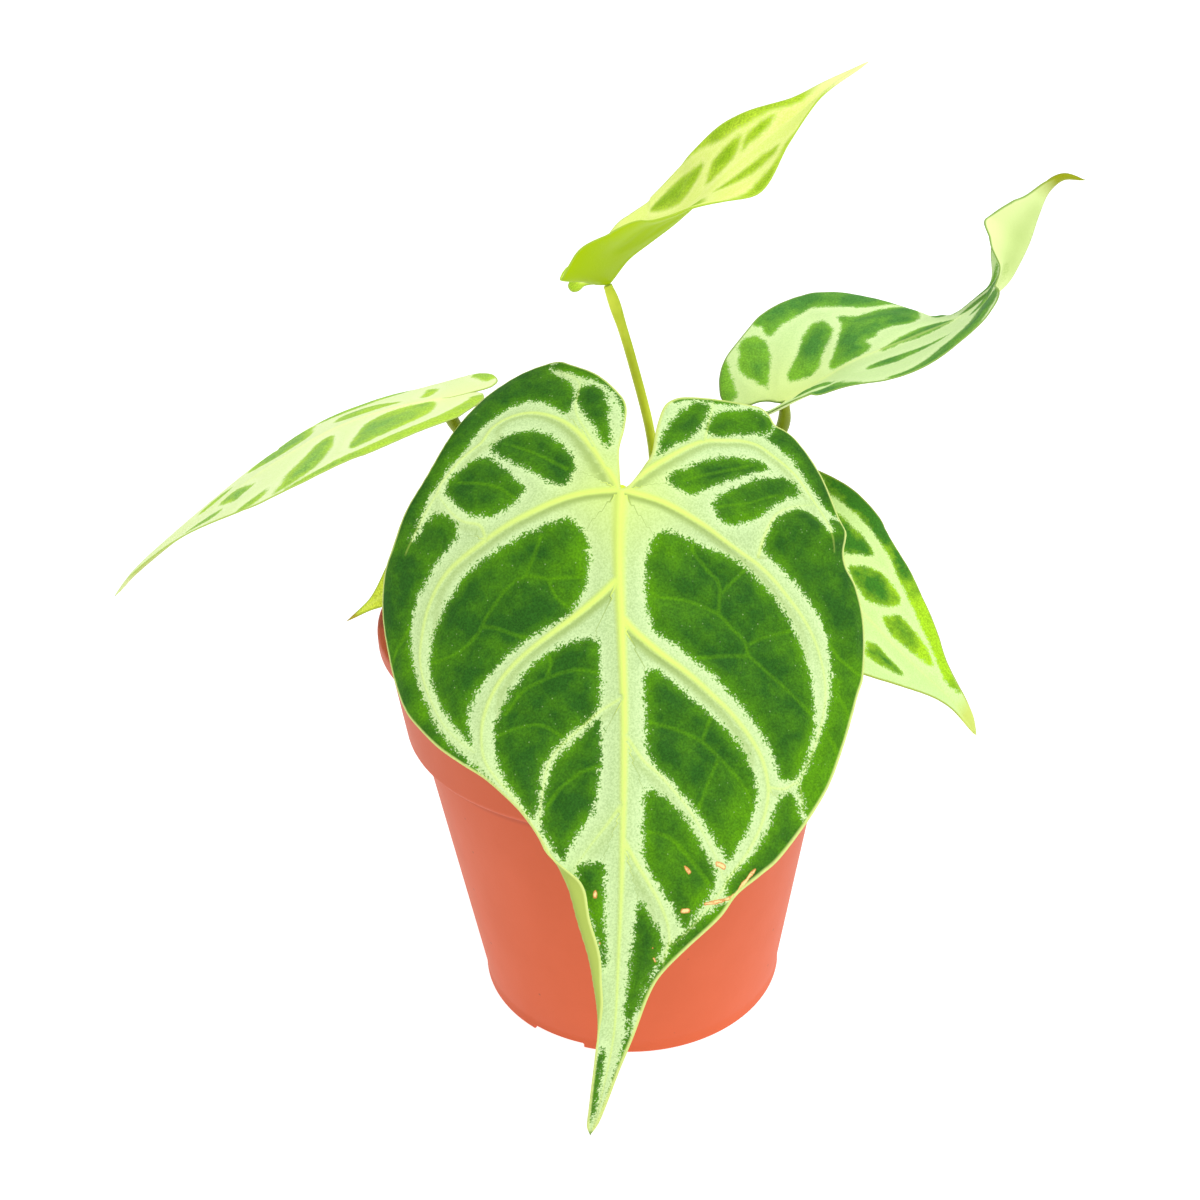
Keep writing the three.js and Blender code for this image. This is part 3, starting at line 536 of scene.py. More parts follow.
# Raised veins of the front leaf in its flat outline: across the midrib and along it, in mm,
# each with the full widths of its line at even steps along it
FRONT_VEINS: list[tuple[Line, tuple[float, ...]]] = [
    ([(0, 0.5), (0, 35), (0, 70), (0, 105), (0, 140)], (2.5, 1.4, 1.1, 0.8, 0.6)),
    ([(-0.6, -0.6), (-3.4, -4.8), (-6.8, -9.7), (-11.2, -15), (-15.5, -18.6), (-20.1, -20.8),
      (-24.1, -21.2), (-27.9, -19.9), (-30.6, -17.3), (-32.2, -13.4), (-34.1, -11.4), (-36.8, -8.5),
      (-38.6, -5.6), (-40.1, -3.3), (-41, 0), (-43.1, 4.2), (-47, 10.5)], (1.4, 0.8, 0.4)),
    ([(-0.8, 0.3), (-6.5, 0.9), (-10.5, 1.8), (-14.5, 3.2), (-18.6, 5), (-22.8, 6.9), (-27, 9.2),
      (-30.5, 11.3), (-34.2, 13.4), (-37.8, 15.8), (-41, 19), (-43.6, 23.5), (-45.3, 30.4),
      (-44.9, 35.4), (-43.4, 40), (-41.3, 44.3), (-38.7, 48.5), (-35.2, 51.9), (-32.3, 54)],
     (1.6, 1.0, 0.6, 0.3)),
    ([(0, 18.5), (-4.3, 22.2), (-9.3, 25.8), (-14.8, 29.3), (-19.4, 32.3), (-23.3, 35.5),
      (-26.4, 39), (-28.6, 43), (-29.9, 47.5), (-30, 52), (-28.9, 56.4), (-26.4, 59.9), (-23.4, 63),
      (-20.8, 66), (-18.4, 69.3), (-15.5, 74)], (1.6, 1.0, 0.6, 0.3)),
    ([(-0.4, 43.2), (-5.1, 46), (-7.9, 48.4), (-11.1, 51.2), (-13.8, 54), (-15.5, 57),
      (-16.2, 60.5), (-16.6, 64), (-17, 68.3)], (0.6, 0.3)),
    ([(-0.2, 64.5), (-3, 68.5), (-6.4, 73), (-9.5, 77.5)], (0.7, 0.3)),
    ([(-3.4, -4.8), (-8, -13.2), (-12.1, -21.3), (-12.3, -29.9), (-16.6, -34.4)], (0.6, 0.3)),
    ([(0.6, -0.6), (5.2, -5.8), (9, -9.9), (12.9, -14), (16.5, -16.9), (20.8, -18.6), (25.2, -20),
      (28.8, -20.1), (32.1, -18.7), (35.5, -17.1), (38.6, -15), (41.2, -12), (43.4, -8.9),
      (45.3, -5), (46.6, 1), (47.6, 9)], (1.4, 0.8, 0.4)),
    ([(0.8, 0.3), (7, 1.4), (11.1, 2.8), (15.3, 4.9), (19.1, 7.2), (22.5, 9.9), (26.3, 12.9),
      (29.9, 15.7), (33.3, 19), (36.3, 22.6), (39, 26.2), (41.3, 30), (43, 34.3), (43.9, 38.7),
      (43.8, 43), (42.9, 47), (41.3, 51.5), (39.7, 55), (37, 59.8)], (1.6, 1.0, 0.6, 0.3)),
    ([(0, 26.5), (2.2, 29.3), (5.3, 32.2), (8.4, 34.8), (11.9, 37.4), (15.1, 40), (18.2, 42.8),
      (21.4, 45.6), (24.3, 48.7), (26.9, 52), (28.9, 55.6), (29.9, 59.5), (30, 63), (29, 67.3),
      (27, 71.6), (24.5, 75.4), (22, 78.5), (20.2, 81.5), (17.5, 85), (14.3, 89), (11, 92.5)],
     (1.6, 1.0, 0.6, 0.3)),
    ([(0, 50.4), (3.6, 55.5), (6.9, 58.4), (9.7, 61.3), (12.5, 64.5), (14.9, 67.8), (16.9, 71.2),
      (19, 75), (20.6, 79)], (0.7, 0.3)),
    ([(0.1, 71.5), (2.7, 76), (5.3, 80), (7.8, 84), (9.6, 88), (10.2, 91.5), (9.6, 95)],
     (0.9, 0.4)),
    ([(16.5, -16.9), (16.8, -19.4), (17.2, -22.8), (17.8, -28.2)], (0.6, 0.3)),
    ([(30, 12.6), (30.9, 8.5), (32.6, 3), (34.4, -1), (37.6, -5), (41.8, -8)], (0.7, 0.3)),
    ([(-28.5, 10), (-30, 7.3), (-34, 6.4), (-37.2, 4.2), (-40.8, 0)], (0.7, 0.3)),
    ([(30.2, 61), (33.7, 61.3), (36.8, 60.2), (37.6, 64.6)], (0.6, 0.3)),
]

# Dark green cells of the front leaf between its silver bands, in the flat outline
FRONT_CELLS: list[Line] = [
    [(-7, 9), (-9, 7), (-12, 6.3), (-17, 7.8), (-22, 10), (-28, 13), (-33, 16), (-37, 19.5),
     (-40, 23.5), (-42.3, 28), (-43, 33), (-42.3, 38), (-40.5, 42.5), (-38, 46.5), (-35, 50),
     (-32.3, 52.8), (-33, 49), (-33.3, 45), (-31.5, 41), (-28.5, 37), (-25, 33.5), (-20.5, 30.5),
     (-16, 28), (-11, 25.5), (-8, 22), (-6.5, 18), (-6.2, 13)],
    [(-27.5, 50), (-26.5, 56), (-24, 61), (-21, 65), (-18.5, 68), (-17.3, 66), (-17, 62),
     (-16.6, 58), (-15, 55), (-12, 51.6), (-9, 48.9), (-6, 46.4), (-4.8, 44), (-4.5, 40),
     (-4.5, 35), (-5, 31.5), (-8, 30.5), (-13, 32), (-18, 34.7), (-22, 38.5), (-25, 42.7),
     (-26.8, 46.5)],
    [(-4.8, 47.3), (-8, 49.8), (-11, 52.5), (-13.5, 55), (-15, 58), (-15.8, 62), (-16.5, 66),
     (-16.3, 70), (-14.5, 73.5), (-12, 76), (-11.2, 75), (-9.6, 72), (-7.5, 68.5), (-6, 66),
     (-5, 62), (-4.7, 57), (-4.6, 52)],
    [(-9.2, 78.4), (-9, 80), (-8.2, 82), (-7.2, 85), (-6, 88.5), (-4.8, 92), (-3.8, 95.5), (-3, 98),
     (-2.6, 95), (-2.7, 92.2), (-3.1, 88.1), (-3.3, 83.2), (-3.5, 78), (-4.4, 76.3), (-6.4, 76.4),
     (-8.3, 76.9)],
    [(-39, -1), (-37, 2), (-34, 4.5), (-30, 5.5), (-26, 5), (-22, 2.5), (-20.5, 0), (-22, -2),
     (-25, -5), (-27.5, -7.5), (-30, -9), (-33, -9), (-36, -6.5), (-38.5, -3.8)],
    [(-12, -1), (-15, -1.5), (-19, -4.2), (-24, -6.9), (-28, -9.4), (-30, -11.2), (-28.5, -13.8),
     (-25, -15.6), (-21, -16), (-17, -14.2), (-13.2, -11), (-11, -8), (-10.4, -5), (-11, -2)],
    [(-35, 8), (-38, 5), (-41, 4.6), (-43.9, 7.3), (-46.2, 9.6), (-48.5, 8.5), (-56, 12), (-60, 25),
     (-59, 34), (-55, 44), (-48, 52), (-42, 56.5), (-36, 60), (-30, 63), (-26, 65.5), (-24.5, 64),
     (-29, 59.5), (-33, 56), (-37, 52.5), (-40.5, 48.6), (-43, 43.8), (-45.6, 38), (-47.2, 33),
     (-47.9, 27), (-46.7, 22), (-43.8, 17.5), (-40, 13.7), (-37, 11)],
    [(-49, 11.4), (-46.6, 9.3), (-44.9, 6.6), (-42.8, 1), (-40.3, -4.6), (-37.8, -9),
     (-35.2, -12.8), (-33.7, -17), (-31, -21), (-27, -24.3), (-22.5, -25.3), (-18, -23.5),
     (-14.8, -20.8), (-13, -22.5), (-12.8, -27), (-14, -30), (-16.7, -32.6), (-19.5, -35.5),
     (-20.5, -41), (-32, -40), (-42, -26), (-50, -10), (-57, 8), (-56, 14)],
    [(-3, -11.5), (-4.6, -11.5), (-7, -15.6), (-9.9, -19.8), (-12.4, -24.6), (-12.2, -28),
     (-9.6, -29.4), (-6.6, -27.2), (-4.8, -22.4), (-4.4, -18)],
    [(-17.6, -34.8), (-15, -33.7), (-12, -32), (-9, -30.6), (-6.3, -28.4), (-3.6, -25),
     (-1.6, -20.4), (-0.9, -16.5), (0, -16.5), (0.5, -22), (-2, -28), (-6, -33), (-11, -37),
     (-16, -39), (-20, -37)],
    [(5.8, 26.5), (5.3, 20), (5.8, 14), (7.5, 9.5), (10.5, 8), (15, 9.8), (20, 12), (25, 14.5),
     (29, 18), (32, 21), (35, 25), (37.5, 29.5), (39.5, 34), (40.8, 39), (41.2, 44), (41.1, 49),
     (39.7, 53), (38.4, 56.6), (36, 59.6), (33, 59.2), (31.4, 55), (29.3, 51), (26.4, 47),
     (22.3, 42.5), (18, 38.4), (13.5, 34.7), (9.5, 31.6), (6.7, 29.5)],
    [(4.4, 39), (6.6, 37.4), (10, 39.8), (14, 43.2), (18, 46.5), (22, 50.3), (25.4, 54.3),
     (27.4, 59), (27.6, 64), (26, 69), (23.6, 73), (21.5, 75.6), (19.6, 73), (17, 69), (14, 65),
     (10, 60.4), (6.5, 57), (4.8, 54), (4.2, 47)],
    [(4.5, 62), (7, 62), (11, 65.5), (14, 69), (16.5, 73), (18.4, 76.6), (19.2, 79.5), (18, 82.5),
     (16, 85.5), (14, 88.2), (12.6, 88.8), (11, 86), (8.5, 82), (6, 78.5), (4.5, 75.5), (4, 70),
     (4, 65)],
    [(3.2, 85.4), (4.8, 84.4), (6.4, 87.2), (8.6, 90.6), (9, 93.8), (7.8, 97.8), (6.4, 101.4),
     (5, 105.2), (3.8, 109), (2.6, 112.4), (2.2, 110), (1.9, 105), (2.3, 99), (2.9, 92)],
    [(3.1, 111), (3.8, 113), (3.7, 118), (3.1, 124), (2.5, 131), (1.8, 136), (1.2, 136), (1.3, 131),
     (1.7, 125), (2.2, 119)],
    [(-2.2, 116), (-1.5, 118), (-1.1, 126), (-0.8, 134), (-1.6, 136), (-3, 128), (-3.4, 120)],
    [(6.2, 101.6), (8.1, 97.8), (9.5, 94.6), (11.2, 91.6), (13.6, 89.6), (15.8, 87), (18.4, 85),
     (20.4, 83.8), (22.4, 83), (24, 81.4), (26, 80), (29, 80.5), (26, 85), (18, 93), (10, 101),
     (5.4, 107), (5, 104.6)],
    [(21.2, 82.6), (21.3, 80), (23, 78), (25.2, 75.6), (27.6, 72.8), (29.8, 69.5), (31.4, 66),
     (32.8, 63.1), (35, 62.1), (36.6, 64.2), (37.4, 67.6), (40, 70), (34, 77), (27, 83),
     (23.6, 82.8)],
    [(31, 11), (32, 6), (34, 1.5), (36.5, -2.5), (39.5, -5.2), (43, -4.6), (45, -1), (46, 1.6),
     (46.7, 3.4), (47.3, 2.6), (47.3, 0), (46.8, -4.6), (50, -6), (56, 0), (60, 20), (59, 42),
     (50, 58), (43, 70), (38.4, 67.6), (37.5, 63.8), (37, 60.6), (38.8, 56.6), (40.2, 54),
     (42, 50.6), (43.8, 46.4), (45.3, 41), (46, 36), (45.4, 31), (43.5, 26.5), (40.5, 22), (37, 18),
     (33.5, 14.5)],
    [(49.8, -8), (46.4, -8.6), (43.6, -12.4), (40, -16.4), (36.5, -20), (33, -22), (30.6, -23.2),
     (32, -26), (34, -31), (42, -30), (52, -16)],
    [(16.9, -20.2), (20, -19.6), (24, -21.6), (28, -23.4), (31.4, -25), (32.6, -29), (30.5, -31),
     (27, -31), (24, -29.4), (21, -28), (18.4, -25.8), (17.2, -23)],
    [(6.8, -10.6), (8.4, -11.9), (10.6, -14.4), (14, -18), (16.3, -22.4), (17, -27.8), (14.2, -28),
     (10.8, -24.2), (8, -18.4), (7, -14.4)],
    [(9.6, -26), (12.9, -28.2), (17, -29), (21.6, -29.6), (24, -31.2), (24, -34), (14, -33),
     (8, -28)],
    [(9.5, -5), (12, -2), (15, -1.5), (18, -3.6), (22, -7.2), (26, -10.6), (30, -13.4),
     (31.8, -14.8), (30.5, -16), (27, -16.1), (22, -14.6), (17, -12), (13, -8.5)],
    [(19.5, 0), (21, 4), (24, 5.5), (28, 4), (31, 1), (33, -3), (36, -7), (39, -10), (39.5, -12),
     (37, -14), (33, -13.2), (29, -10.6), (25, -7.2), (21.5, -3.6)],
]

# Thin veins that show as lighter lines in the dark cells
FRONT_NET: list[Line] = [
    [(-43, 33.5), (-39, 32.6), (-35, 31), (-31.4, 28.2), (-30, 26), (-27, 22.3), (-24, 19.2),
     (-20, 17.2), (-14, 17.9), (-6, 17.6)],
    [(-30, 26.5), (-27, 27), (-22, 29), (-18, 30)],
    [(-20, 17.2), (-18, 13.5), (-16.4, 9.5)],
    [(-9, 25), (-13, 22), (-15, 18)],
    [(5.6, 21.5), (8, 22.5), (12, 23), (17, 24.5), (21, 26.8), (23.4, 29.5), (26, 32), (27, 35),
     (31, 38.5), (37, 43.5), (41, 47)],
    [(9, 35.6), (15, 35.4), (21, 35), (27, 35)],
    [(20.6, 26), (21, 20), (18.4, 16.5), (15.5, 12.5), (15.8, 10)],
    [(21.3, 22), (24, 19.4), (27, 16.6)],
    [(27, 32.6), (31, 31), (36.6, 29.8)],
    [(-4.6, 38), (-10, 37), (-16, 38.6), (-21, 41), (-25, 46)],
    [(-16, 38.6), (-15, 35), (-16, 33)],
    [(-12, 51.6), (-17, 48.6), (-22, 49), (-27, 51)],
    [(-4.7, 57), (-9, 58.6), (-13, 62), (-15.8, 66)],
    [(4.3, 48), (10, 49.4), (16, 52), (21, 56.4), (25, 61), (27, 66)],
    [(16, 52), (17.4, 48.4), (18.4, 46.6)],
    [(15, 66.4), (17.5, 60), (19.6, 55.2)],
    [(4, 70), (9, 71), (13, 74.5), (17.5, 80)],
    [(-48, 25), (-52, 30), (-54.5, 37)],
    [(45, 31.5), (49, 36), (54, 39)],
    [(45.6, 41), (49, 46), (50.5, 52)],
    [(43.3, 49.5), (46, 54), (46.3, 60)],
    [(-22.3, 2), (-28, -1.5), (-36, -3)],
    [(-12, -5), (-18, -8.5), (-25, -12)],
    [(20.6, 1), (27, -2), (34, -8)],
    [(13, -5), (20, -9.5), (28, -14.6)],
]

# Corky marks of the front leaf: their courses and half widths
FRONT_MARKS: list[tuple[Line, float]] = [
    ([(-5.4, 82.4), (-5.4, 83.2)], 0.55),
    ([(12.7, 85.6), (13.8, 85.4)], 0.6),
    ([(12.9, 77), (13.7, 78)], 0.5),
    ([(19.4, 76.2), (20.6, 76.8)], 0.7),
    ([(17, 84.1), (19.6, 83.5), (21.6, 82.9), (23.3, 82), (24.5, 80.3), (25.7, 78.7),
      (27, 77.2)], 0.42),
    ([(18.4, 83.8), (20.4, 83.3)], 0.55),
    ([(7.4, 95.6), (7.6, 96.3)], 0.32),
    ([(6.9, 93.2), (7, 93.8)], 0.25),
    ([(-4.1, 92.2), (-4, 92.8)], 0.25),
]

# Cells of the hazed leaf at the upper right
RIGHT_UP_CELLS: list[Line] = [
    [(1.3, 16), (1.5, 22), (3.5, 24.7), (7, 24.3), (7.6, 26.4), (9.6, 28), (11, 31), (11, 36),
     (13, 39), (18, 40.5), (22, 41), (24, 38), (23.5, 34), (22, 30), (20, 26), (19.6, 23.4),
     (20.6, 21), (20, 19.8), (17, 20), (12, 18), (8, 16), (4, 13.5), (2, 14)],
    [(3.6, 8), (5, 11), (8, 12.5), (11, 14.5), (15, 17.3), (19, 16.5), (20.6, 14.5), (20, 12),
     (17, 9.5), (12, 6.5), (9, 4), (6.5, 2.5), (5, 3.6)],
    [(6, -3), (9, -2), (13, -0.5), (16, 0.3), (19.5, 0.2), (22, -2), (22.5, -4.5), (21, -7),
     (18, -7.8), (15, -8.8), (12, -8), (9.5, -6), (7, -4)],
    [(20.8, 2), (23, 5), (24, 8), (25, 11), (26, 14), (25.2, 18), (24.5, 22), (23.7, 26), (24, 30),
     (25.5, 34), (26, 40), (30, 36), (34, 28), (34.5, 18), (33, 9), (30, 2), (26, -2), (24.4, 0.3),
     (22.6, 0.4)],
    [(7, -11), (10, -11), (14, -11), (17, -11), (19.5, -12), (16, -16), (10, -17), (6.5, -14)],
    [(-1.5, 27), (-1, 31), (-1.5, 38), (-0.5, 44), (2, 45.5), (5, 43), (6, 39), (5, 35), (3, 31),
     (1, 27.5), (0, 26.3)],
    [(-14, 21.5), (-11, 22), (-9, 25), (-9.5, 31), (-10.5, 36), (-11.5, 41), (-12.5, 38),
     (-13.5, 33), (-14.8, 28), (-14.5, 23)],
    [(-34, 27), (-32, 33), (-29, 38), (-25, 42), (-21, 46), (-16, 52), (-12, 52), (-9, 49),
     (-13, 45), (-17, 41), (-20, 37), (-24, 33), (-27, 29), (-29.6, 24)],
    [(-34, 20), (-30, 20), (-26, 18.5), (-19, 17), (-21, 15), (-27, 13), (-34, 12)],
    [(-6, 47), (-3, 52), (-2, 58), (-3, 64), (-6, 62), (-9, 57), (-10, 52)],
    [(-17, 55), (-14, 58), (-11, 62), (-12, 67), (-18, 66), (-19, 60)],
    [(3, 48), (6, 50), (8, 54), (7, 60), (4.5, 63), (2.4, 57)],
    [(13, 44), (17, 44), (21, 46), (16, 56), (11, 64), (8.6, 66), (10.4, 58), (11.6, 50)],
    [(-4, 8), (-6, 11), (-11, 14), (-16, 16), (-18, 13), (-15, 9), (-10, 5), (-6, 3)],
    [(-6, -2.5), (-10, -1), (-15, 0), (-19, 0), (-21, -3), (-18, -6), (-12, -7), (-8, -5)],
]

# Cells of the pale leaf at the left
LEFT_CELLS: list[Line] = [
    [(19.1, 28.7), (14, 25.6), (9.7, 22.8), (5.4, 19.6), (2.3, 14), (1.3, 8), (1.1, 3), (3.6, 2.4),
     (7.9, 3.2), (13.7, 5.8), (17.4, 10), (19.3, 15), (20.2, 20.3), (20.6, 25.5)],
    [(30, 22), (31, 12), (30, 3), (25, -2), (18, -7), (11, -7.5), (8, -6), (12, -2.4), (15.9, 1.3),
     (19.4, 5.4), (21.9, 10), (23.2, 18.6), (23.4, 26.5), (22.6, 32.5), (22, 37), (21.6, 41),
     (23.4, 44), (26, 38), (29, 30)],
    [(21, 43.6), (16.6, 42.6), (12.4, 41.2), (8.6, 37.8), (4.8, 33.6), (3.4, 30), (3.9, 28.3),
     (7, 29), (11.3, 31.2), (15, 33.9), (18.2, 36.8), (20.4, 39.6)],
    [(14, 45), (17, 45), (19, 47), (18.5, 50.5), (17.5, 52), (15.5, 50), (14.5, 47)],
    [(1, 52), (3, 50), (5, 48), (6.5, 51), (8, 53), (6, 55.5), (3, 58), (1, 58.5), (0.2, 55)],
    [(6, -6), (10, -5.5), (14, -6), (14, -9), (8, -10)],
    [(-26, 28), (-20, 28.6), (-15, 29.2), (-10.5, 32), (-9.4, 36), (-8.6, 41), (-9.4, 47),
     (-12, 53), (-16, 52), (-20, 46), (-24, 37)],
    [(-20, 22), (-15, 24.5), (-11, 23.2), (-9.2, 18.5), (-8.8, 13.5), (-9.9, 8.8), (-14, 11),
     (-19, 15)],
    [(-19.5, 1.6), (-15, 3), (-10, 4.4), (-8.4, 3), (-12, 0.6), (-16, -0.6)],
    [(-15, -8.6), (-10.6, -9.8), (-6, -11.4), (-8, -14.5), (-14, -13), (-17, -10)],
    [(-8, 57), (-5, 60), (-3.4, 65), (-5, 67), (-8, 62)],
    [(-25.5, 5), (-24.3, 14), (-24.6, 24), (-26, 27), (-31, 28), (-31, 14), (-28, 3)],
    [(7, 57), (10, 58), (9, 63), (6.6, 68), (5.4, 64)],
]

# Cells of the leaf at the lower right
RIGHT_LOW_CELLS: list[Line] = [
    [(8, 13), (10, 14.5), (13, 17.5), (15, 21), (14.5, 25), (13, 29), (11, 29.5), (8.5, 28),
     (6, 25), (4.5, 22), (5, 18.5), (6.5, 15)],
    [(8, 7.6), (10.4, 10.4), (13, 13), (15.3, 15.4), (17.5, 15.5), (17.5, 11), (16.7, 6), (15.6, 1),
     (13, 0.4), (10, 3)],
    [(2, 32), (2.3, 37), (3, 44), (4, 46.5), (6, 44), (7.5, 40), (8.5, 35), (8.5, 31), (6, 29),
     (4.5, 27.5), (3, 29)],
    [(-12, 29), (-11, 33), (-9, 36.5), (-7, 37), (-6, 33), (-5, 29.5), (-7, 27.5), (-10, 27.6)],
    [(18.5, -7), (16, -12), (20, -16), (26, -6), (29, 4), (30, 14), (28, 24), (22, 33), (16, 41),
     (10, 47), (6, 52), (3.4, 57), (2.7, 52), (6, 46), (9, 41), (12, 36), (15, 30), (17.5, 25),
     (20.5, 20), (21, 15), (20.5, 9), (19.5, 4), (18.5, 0), (17.4, -4)],
    [(4, 3), (7, 4), (9.5, 0), (12, -4), (9.5, -6), (6, -3)],
    [(7, -9.6), (10.4, -8), (13, -10), (11.6, -14), (8.4, -16), (6.6, -13)],
    [(-6, 11), (-10, 13), (-14, 18), (-17, 23), (-15, 25.6), (-10, 22), (-6, 18), (-4.4, 14)],
    [(-7, 5), (-12, 6), (-17, 10), (-18, 5), (-14, 0.5), (-9, 0.6)],
    [(-19, 31), (-21, 24), (-22, 15), (-21, 6), (-18, -4), (-24, -2), (-29, 10), (-29, 20),
     (-25, 28)],
]

# Cells of the young leaf at the top
TOP_CELLS: list[Line] = [
    [(1.5, -1), (5.2, -2.6), (7, -5), (9, -5.2), (11.5, -4.6), (13.5, -8), (8, -10.5), (3.5, -8),
     (1.6, -4)],
    [(20.5, 28.5), (21, 31), (18.5, 37), (15.5, 43), (12, 49.5), (8.5, 56.5), (5, 63), (3, 65),
     (2.4, 61), (3.9, 56.8), (5.5, 53.6), (6.4, 50.8), (6.9, 48), (8.3, 45.2), (9.2, 42.4),
     (10.9, 39.8), (13.6, 37.6), (16.6, 33.8), (18.6, 30)],
    [(14.5, 14.7), (16.6, 20.8), (15.2, 26.6), (10.7, 34.6), (8.4, 33), (7.2, 29.4), (5.9, 25.2),
     (6.5, 22.7), (11.2, 17.7)],
    [(2.5, 32.4), (6.9, 35.9), (7.5, 40.3), (6.3, 45.1), (4, 43.1), (2, 40), (1.5, 35.6)],
    [(2.2, 42.6), (4.9, 45.3), (5.4, 48.3), (4.7, 53.2), (3, 51.5), (2.1, 48.5), (2.2, 45.2)],
    [(-4.9, 33.1), (-3.6, 39.4), (-4.2, 44.7), (-6.4, 48.5), (-8, 46.9), (-7.2, 42.5), (-6.9, 37.4),
     (-6.3, 34.4)],
    [(-18.5, 34), (-13.5, 37.6), (-10.8, 41), (-10.6, 44), (-10.2, 47), (-8.6, 50.5), (-9.6, 53.5),
     (-13, 48.5), (-15.5, 43.5), (-18.5, 38)],
    [(-4, 30), (-9, 31), (-15, 30), (-16, 20), (-12, 12), (-7, 10), (-4, 16), (-3, 24)],
    [(20, 3), (22, 10), (23.5, 17), (22.4, 26), (20.4, 25), (21, 17), (19.6, 10)],
    [(3, 4), (7, 5), (11, 8), (8, 14), (4, 18), (2.4, 12)],
]

# Flat outline of the front leaf, half by half, from the stalk round the lobe to the tip
FRONT_LEFT: Line = [
    (0, 0), (-0.8, -5.4), (-1.4, -10.6), (-0.9, -16.5), (-1.2, -22.8), (-3.8, -27.4), (-8.8, -33),
    (-14.7, -36.8), (-18, -38.6), (-21.5, -38), (-25.8, -36.3), (-30, -33.5), (-34.9, -28.8),
    (-39.2, -21.4), (-43.4, -9.1), (-47.5, 1), (-51.2, 9.5), (-54.5, 15.5), (-55.6, 22.5),
    (-54, 31.8), (-51.7, 38.9), (-48.8, 44.5), (-45.4, 48.4), (-40.1, 53.2), (-34.4, 56.9),
    (-29.2, 59.9), (-24.9, 63.2), (-20.3, 67.5), (-16, 73.5), (-14.4, 80), (-12.4, 85), (-10.6, 90),
    (-8.8, 95), (-7.1, 100), (-5.9, 105), (-4.7, 110), (-4, 115), (-3.4, 120), (-2.9, 126),
    (-2.3, 132), (-1.4, 138), (0, 140.7),
]
FRONT_RIGHT: Line = [
    (0, 0), (1.5, -1.2), (3, -3.8), (4.3, -7.1), (5.6, -11), (5.9, -18.1), (6.9, -24.2),
    (8.8, -27.1), (11.8, -28.9), (18.3, -30.7), (26.5, -32.3), (29.3, -32.6), (31.4, -31.2),
    (32.8, -28.8), (35.1, -28.1), (38, -26.5), (42.5, -21.6), (46.7, -15.2), (50.3, -5.8),
    (51.1, 3), (50.8, 10.8), (51.6, 15.5), (54, 20), (55.4, 28.4), (54.5, 38.1), (51.9, 43.4),
    (48.3, 51.4), (44.1, 60.3), (38.9, 67.6), (32.3, 75.1), (28.2, 78.4), (23.5, 82.1),
    (20.2, 86.6), (14.1, 92.9), (9.3, 98.6), (7, 103), (5.1, 109.5), (2.9, 120), (1.7, 130),
    (1, 137), (0, 140.7),
]
# Half outline of a grown leaf, as shares of its half width and of its length or its lobe
GROWN_HALF: Line = [
    (0, 0), (0.032, -0.12), (0.08, -0.27), (0.105, -0.42), (0.11, -0.58), (0.13, -0.75),
    (0.18, -0.9), (0.25, -1), (0.345, -0.98), (0.46, -0.895), (0.58, -0.73), (0.69, -0.47),
    (0.79, -0.21), (0.87, 0.004), (0.945, 0.061), (0.988, 0.122), (1, 0.18), (0.994, 0.23),
    (0.963, 0.287), (0.903, 0.348), (0.822, 0.406), (0.73, 0.46), (0.629, 0.514), (0.517, 0.568),
    (0.406, 0.621), (0.304, 0.675), (0.213, 0.733), (0.148, 0.79), (0.101, 0.855), (0.057, 0.923),
    (0, 1),
]
# Flat outline of the lower right leaf
LOW_LEFT: Line = [
    (0, 0), (-0.9, -1.9), (-2.2, -4.3), (-2.9, -6.7), (-3.1, -9.3), (-3.6, -12), (-5, -14.4),
    (-7, -16), (-9.7, -15.7), (-12.9, -14.4), (-16.2, -11.7), (-19.3, -7.5), (-21.8, -3.4),
    (-23.8, 0.3), (-25.2, 4.2), (-25.8, 8.5), (-25.8, 12.5), (-25.2, 16), (-23.9, 20), (-21.2, 25),
    (-18, 30), (-14.2, 35), (-10.7, 40), (-7.5, 45), (-5.1, 50), (-3.3, 55), (-2.2, 60), (-1.3, 65),
    (0, 69.3),
]
LOW_RIGHT: Line = [
    (0, 0), (0.9, -2.4), (2.2, -5.4), (2.9, -8.4), (3.1, -11.6), (3.6, -15), (5, -18), (7, -20),
    (9.7, -19.6), (12.9, -18), (16.2, -14.6), (19.1, -9.4), (21.9, -4.2), (23.8, 0.3), (24.7, 5),
    (25.2, 10), (25.4, 15), (24.8, 20), (23.2, 25), (20.8, 30), (18.3, 35), (15.3, 40), (11.3, 45),
    (7.3, 50), (4.7, 55), (3.2, 60), (1.9, 65), (0, 69.3),
]
# Flat outline of the young leaf at the top
YOUNG_NEAR: Line = [
    (0, 0), (-2.8, -0.9), (-5.7, -1.8), (-8.3, -3), (-10.8, -4.2), (-13, -5.3), (-14.8, -5.6),
    (-16.4, -4.8), (-17.9, -2.8), (-19.3, 0.4), (-20.6, 4), (-21.7, 9), (-22, 15), (-21.4, 22),
    (-19.5, 29), (-17, 36), (-14, 42.5), (-10.5, 49), (-7, 56), (-4, 63), (-1.8, 70), (0, 76.3),
]
YOUNG_FAR: Line = [
    (0, 0), (2.4, -1.6), (4.6, -3.4), (5.7, -5), (5.2, -6.6), (5.9, -7.9), (7.4, -8.6), (9.3, -8.4),
    (10.8, -6.9), (12, -4.8), (13.4, -2), (15.4, 2), (17.8, 8), (20.4, 15), (21.2, 22), (19.5, 29),
    (17, 36), (14, 42.5), (10.5, 49), (7, 56), (4, 63), (1.8, 70), (0, 76.3),
]


